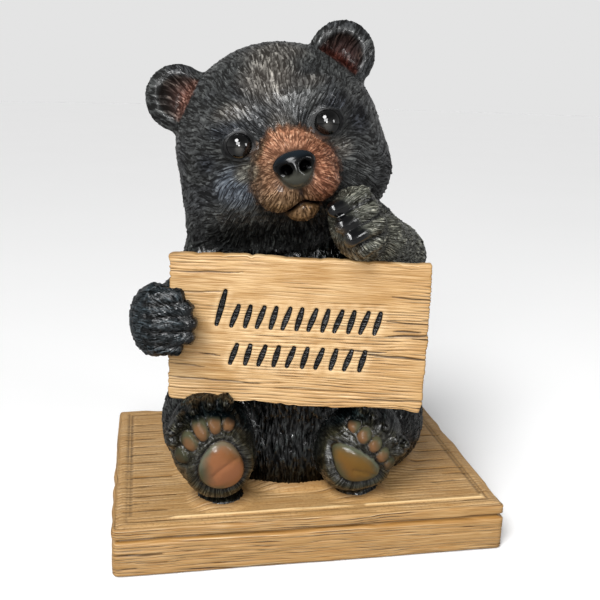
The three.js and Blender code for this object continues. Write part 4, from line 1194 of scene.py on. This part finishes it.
# ---- Eyes ----
def make_eye(name, node):
    """A glossy dome with a slightly raised cornea; its field marks a painted reflection, a faint grey patch
    low on the dome.
    """
    low, high = node_box(node)
    centre, radius = (low + high) / 2, (high - low).mean() / 2
    rings, around = 39, 64  # rings between the two poles, and points in each
    bulge, spread = 0.035, 0.55  # height of the cornea, and how far it reaches, in radians
    turn = np.arange(around)
    t, f = (angle.ravel() for angle in np.meshgrid(
        np.linspace(0, np.pi, rings + 2)[1:-1], turn * 2 * np.pi / around, indexing="ij"))
    local = np.stack([np.sin(t) * np.cos(f), np.cos(t), np.sin(t) * np.sin(f)], 1)
    local = local * ((1 + bulge * np.exp(-(t / spread) ** 2)) * radius)[:, None]
    local = np.concatenate([local, [[0, radius * (1 + bulge), 0], [0, -radius, 0]]])
    start = np.arange(rings)[:, None] * around
    here, ahead = start + turn, start + (turn + 1) % around
    a, b, c, d = (corner.ravel() for corner in (here[:-1], here[1:], ahead[1:], ahead[:-1]))
    front = np.full(around, len(t))
    triangles = np.concatenate([np.stack(corners, 1) for corners in (
        (a, b, c), (a, c, d), (front, here[0], ahead[0]), (front + 1, ahead[-1], here[-1]))])
    x, y, z = local.T / radius
    iris = ramp(np.hypot(x + 0.06, z + 0.3), 0.4, 0.12) * (y > 0)
    return make_object(name, centre + local @ HEAD.T, triangles, iris=(iris, iris, iris))


def eye_material():
    n = Nodes(bpy.data.materials.new("glossy_eye"))
    iris = n.parts(n.field("iris"))[0]
    fleck = n.noise(n.object_place(), 900.0)
    # Painted reflection: a grey patch mixed into the black, low on the dome.
    grey = n.mix(fleck, srgb(52, 51, 49), srgb(106, 104, 99))
    return n.join(Base_Color=n.mix(n.times(iris, 0.42), srgb(3, 3, 4), grey), Specular_IOR_Level=0.8,
                  Roughness=n.ramp(fleck, 0.2, 0.8, 0.03, 0.07), Normal=n.bump(fleck, 0.00001, 0.2))


# ---- Floor, lights and camera ----
BACKDROP = 0.7755  # as pale as the floor looks at its far edge


def make_floor():
    """A disc so wide that its far edge meets the surroundings."""
    around, radius = 48, 4000.0
    turn = np.arange(around) * 2 * math.pi / around
    ring = np.stack([np.cos(turn), np.sin(turn), turn * 0], 1) * radius
    triangles = np.array([(0, 1 + n, 1 + (n + 1) % around) for n in range(around)])
    floor = make_object("floor", np.concatenate([np.zeros((1, 3)), ring]), triangles)
    n = Nodes(bpy.data.materials.new("pale_floor"))
    pale = n.mix(n.noise(n.object_place(), 6.0), (0.96,) * 3, (0.98,) * 3)
    colour = n.mix(n.camera_sees(), (0.28,) * 3, pale)
    floor.data.materials.append(n.join(Base_Color=colour, Roughness=0.8, Specular_IOR_Level=0.0))


def make_world():
    """Surroundings that are pale at the level of the floor's far edge and dimmer overhead."""
    world = bpy.data.worlds.new("studio")
    n = Nodes(world, "Background")
    up = n.parts(n.node("ShaderNodeTexCoord").outputs["Generated"])[2]
    n.join(Color=(1, 1, 1), Strength=n.ramp(up, 0.0, 0.75, 0.5, 0.15))
    pale = n.node("ShaderNodeBackground", {"Color": (BACKDROP,) * 3})
    seen = {0: n.camera_sees(), 1: n.shader.outputs[0], 2: pale.outputs[0]}
    n.feed(n.tree.nodes["World Output"].inputs["Surface"], n.node("ShaderNodeMixShader", seen).outputs[0])
    bpy.context.scene.world = world


def add_light(name, kind, ahead, place=(0, 0, 0), **settings):
    """A lamp that shines ahead from its place."""
    light = bpy.data.lights.new(name, kind)
    for key, value in settings.items():
        setattr(light, key, value)
    lamp = bpy.data.objects.new(name, light)
    lamp.location, lamp.rotation_mode = place, "QUATERNION"
    lamp.rotation_quaternion = Vector(ahead).to_track_quat("-Z", "Y")
    bpy.context.collection.objects.link(lamp)


def make_lights():
    middle = Vector((0, 0, 0.09))
    add_light("daylight", "SUN", (0.42, 0.5, -0.76), angle=math.radians(26), energy=2.4)
    for name, place, wide, tall, power in (
            ("window", (-0.24, -0.62, 0.44), 0.36, 0.32, 3.1),
            ("lamp", (-0.10, -0.50, 0.20), 0.09, 0.09, 0.55),
            ("side", (0.50, -0.45, 0.30), 0.12, 0.2, 0.7)):
        add_light(name, "AREA", middle - Vector(place), place, shape="RECTANGLE", size=wide, size_y=tall,
                  energy=power)


def make_camera():
    yaw, pitch, roll = (math.radians(a) for a in (10.58, 14.87, 1.48))
    ahead = Vector((math.sin(yaw) * math.cos(pitch), math.cos(yaw) * math.cos(pitch), -math.sin(pitch)))
    level = Vector((math.cos(yaw), -math.sin(yaw), 0))
    upright = level.cross(ahead)
    right = math.cos(roll) * level + math.sin(roll) * upright
    up = math.cos(roll) * upright - math.sin(roll) * level
    camera = bpy.data.cameras.new("camera")
    camera.sensor_width, camera.lens = 36, 51.0
    camera.clip_start, camera.clip_end = 0.01, 20
    seat = bpy.data.objects.new("camera", camera)
    place = Matrix.Translation(Vector((-53.1, -294.2, 156.8)) * MM)
    seat.matrix_world = place @ Matrix((right, up, -ahead)).transposed().to_4x4()
    bpy.context.collection.objects.link(seat)
    bpy.context.scene.camera = seat


# ---- The figurine ----
make_camera()
make_world()
make_lights()
make_floor()
bpy.context.scene.view_settings.view_transform = "Standard"

PIECES = (
    (make_cub(), cub_material(), "bear", "bear"),
    (make_sign(), wood_material("sign_wood", inked=True), "sign", "sign"),
    (make_plinth(), wood_material("plinth_wood", inked=False), "plinth", "plinth"),
    (make_eye("left_eye_dome", "left_eye"), eye_material(), "eyes", "left_eye"),
    (make_eye("right_eye_dome", "right_eye"), eye_material(), "eyes", "right_eye"),
)
for piece, material, slot, node in PIECES:
    piece.data.materials.clear()
    piece.data.materials.append(material)
    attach(piece, "root")
    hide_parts(node)
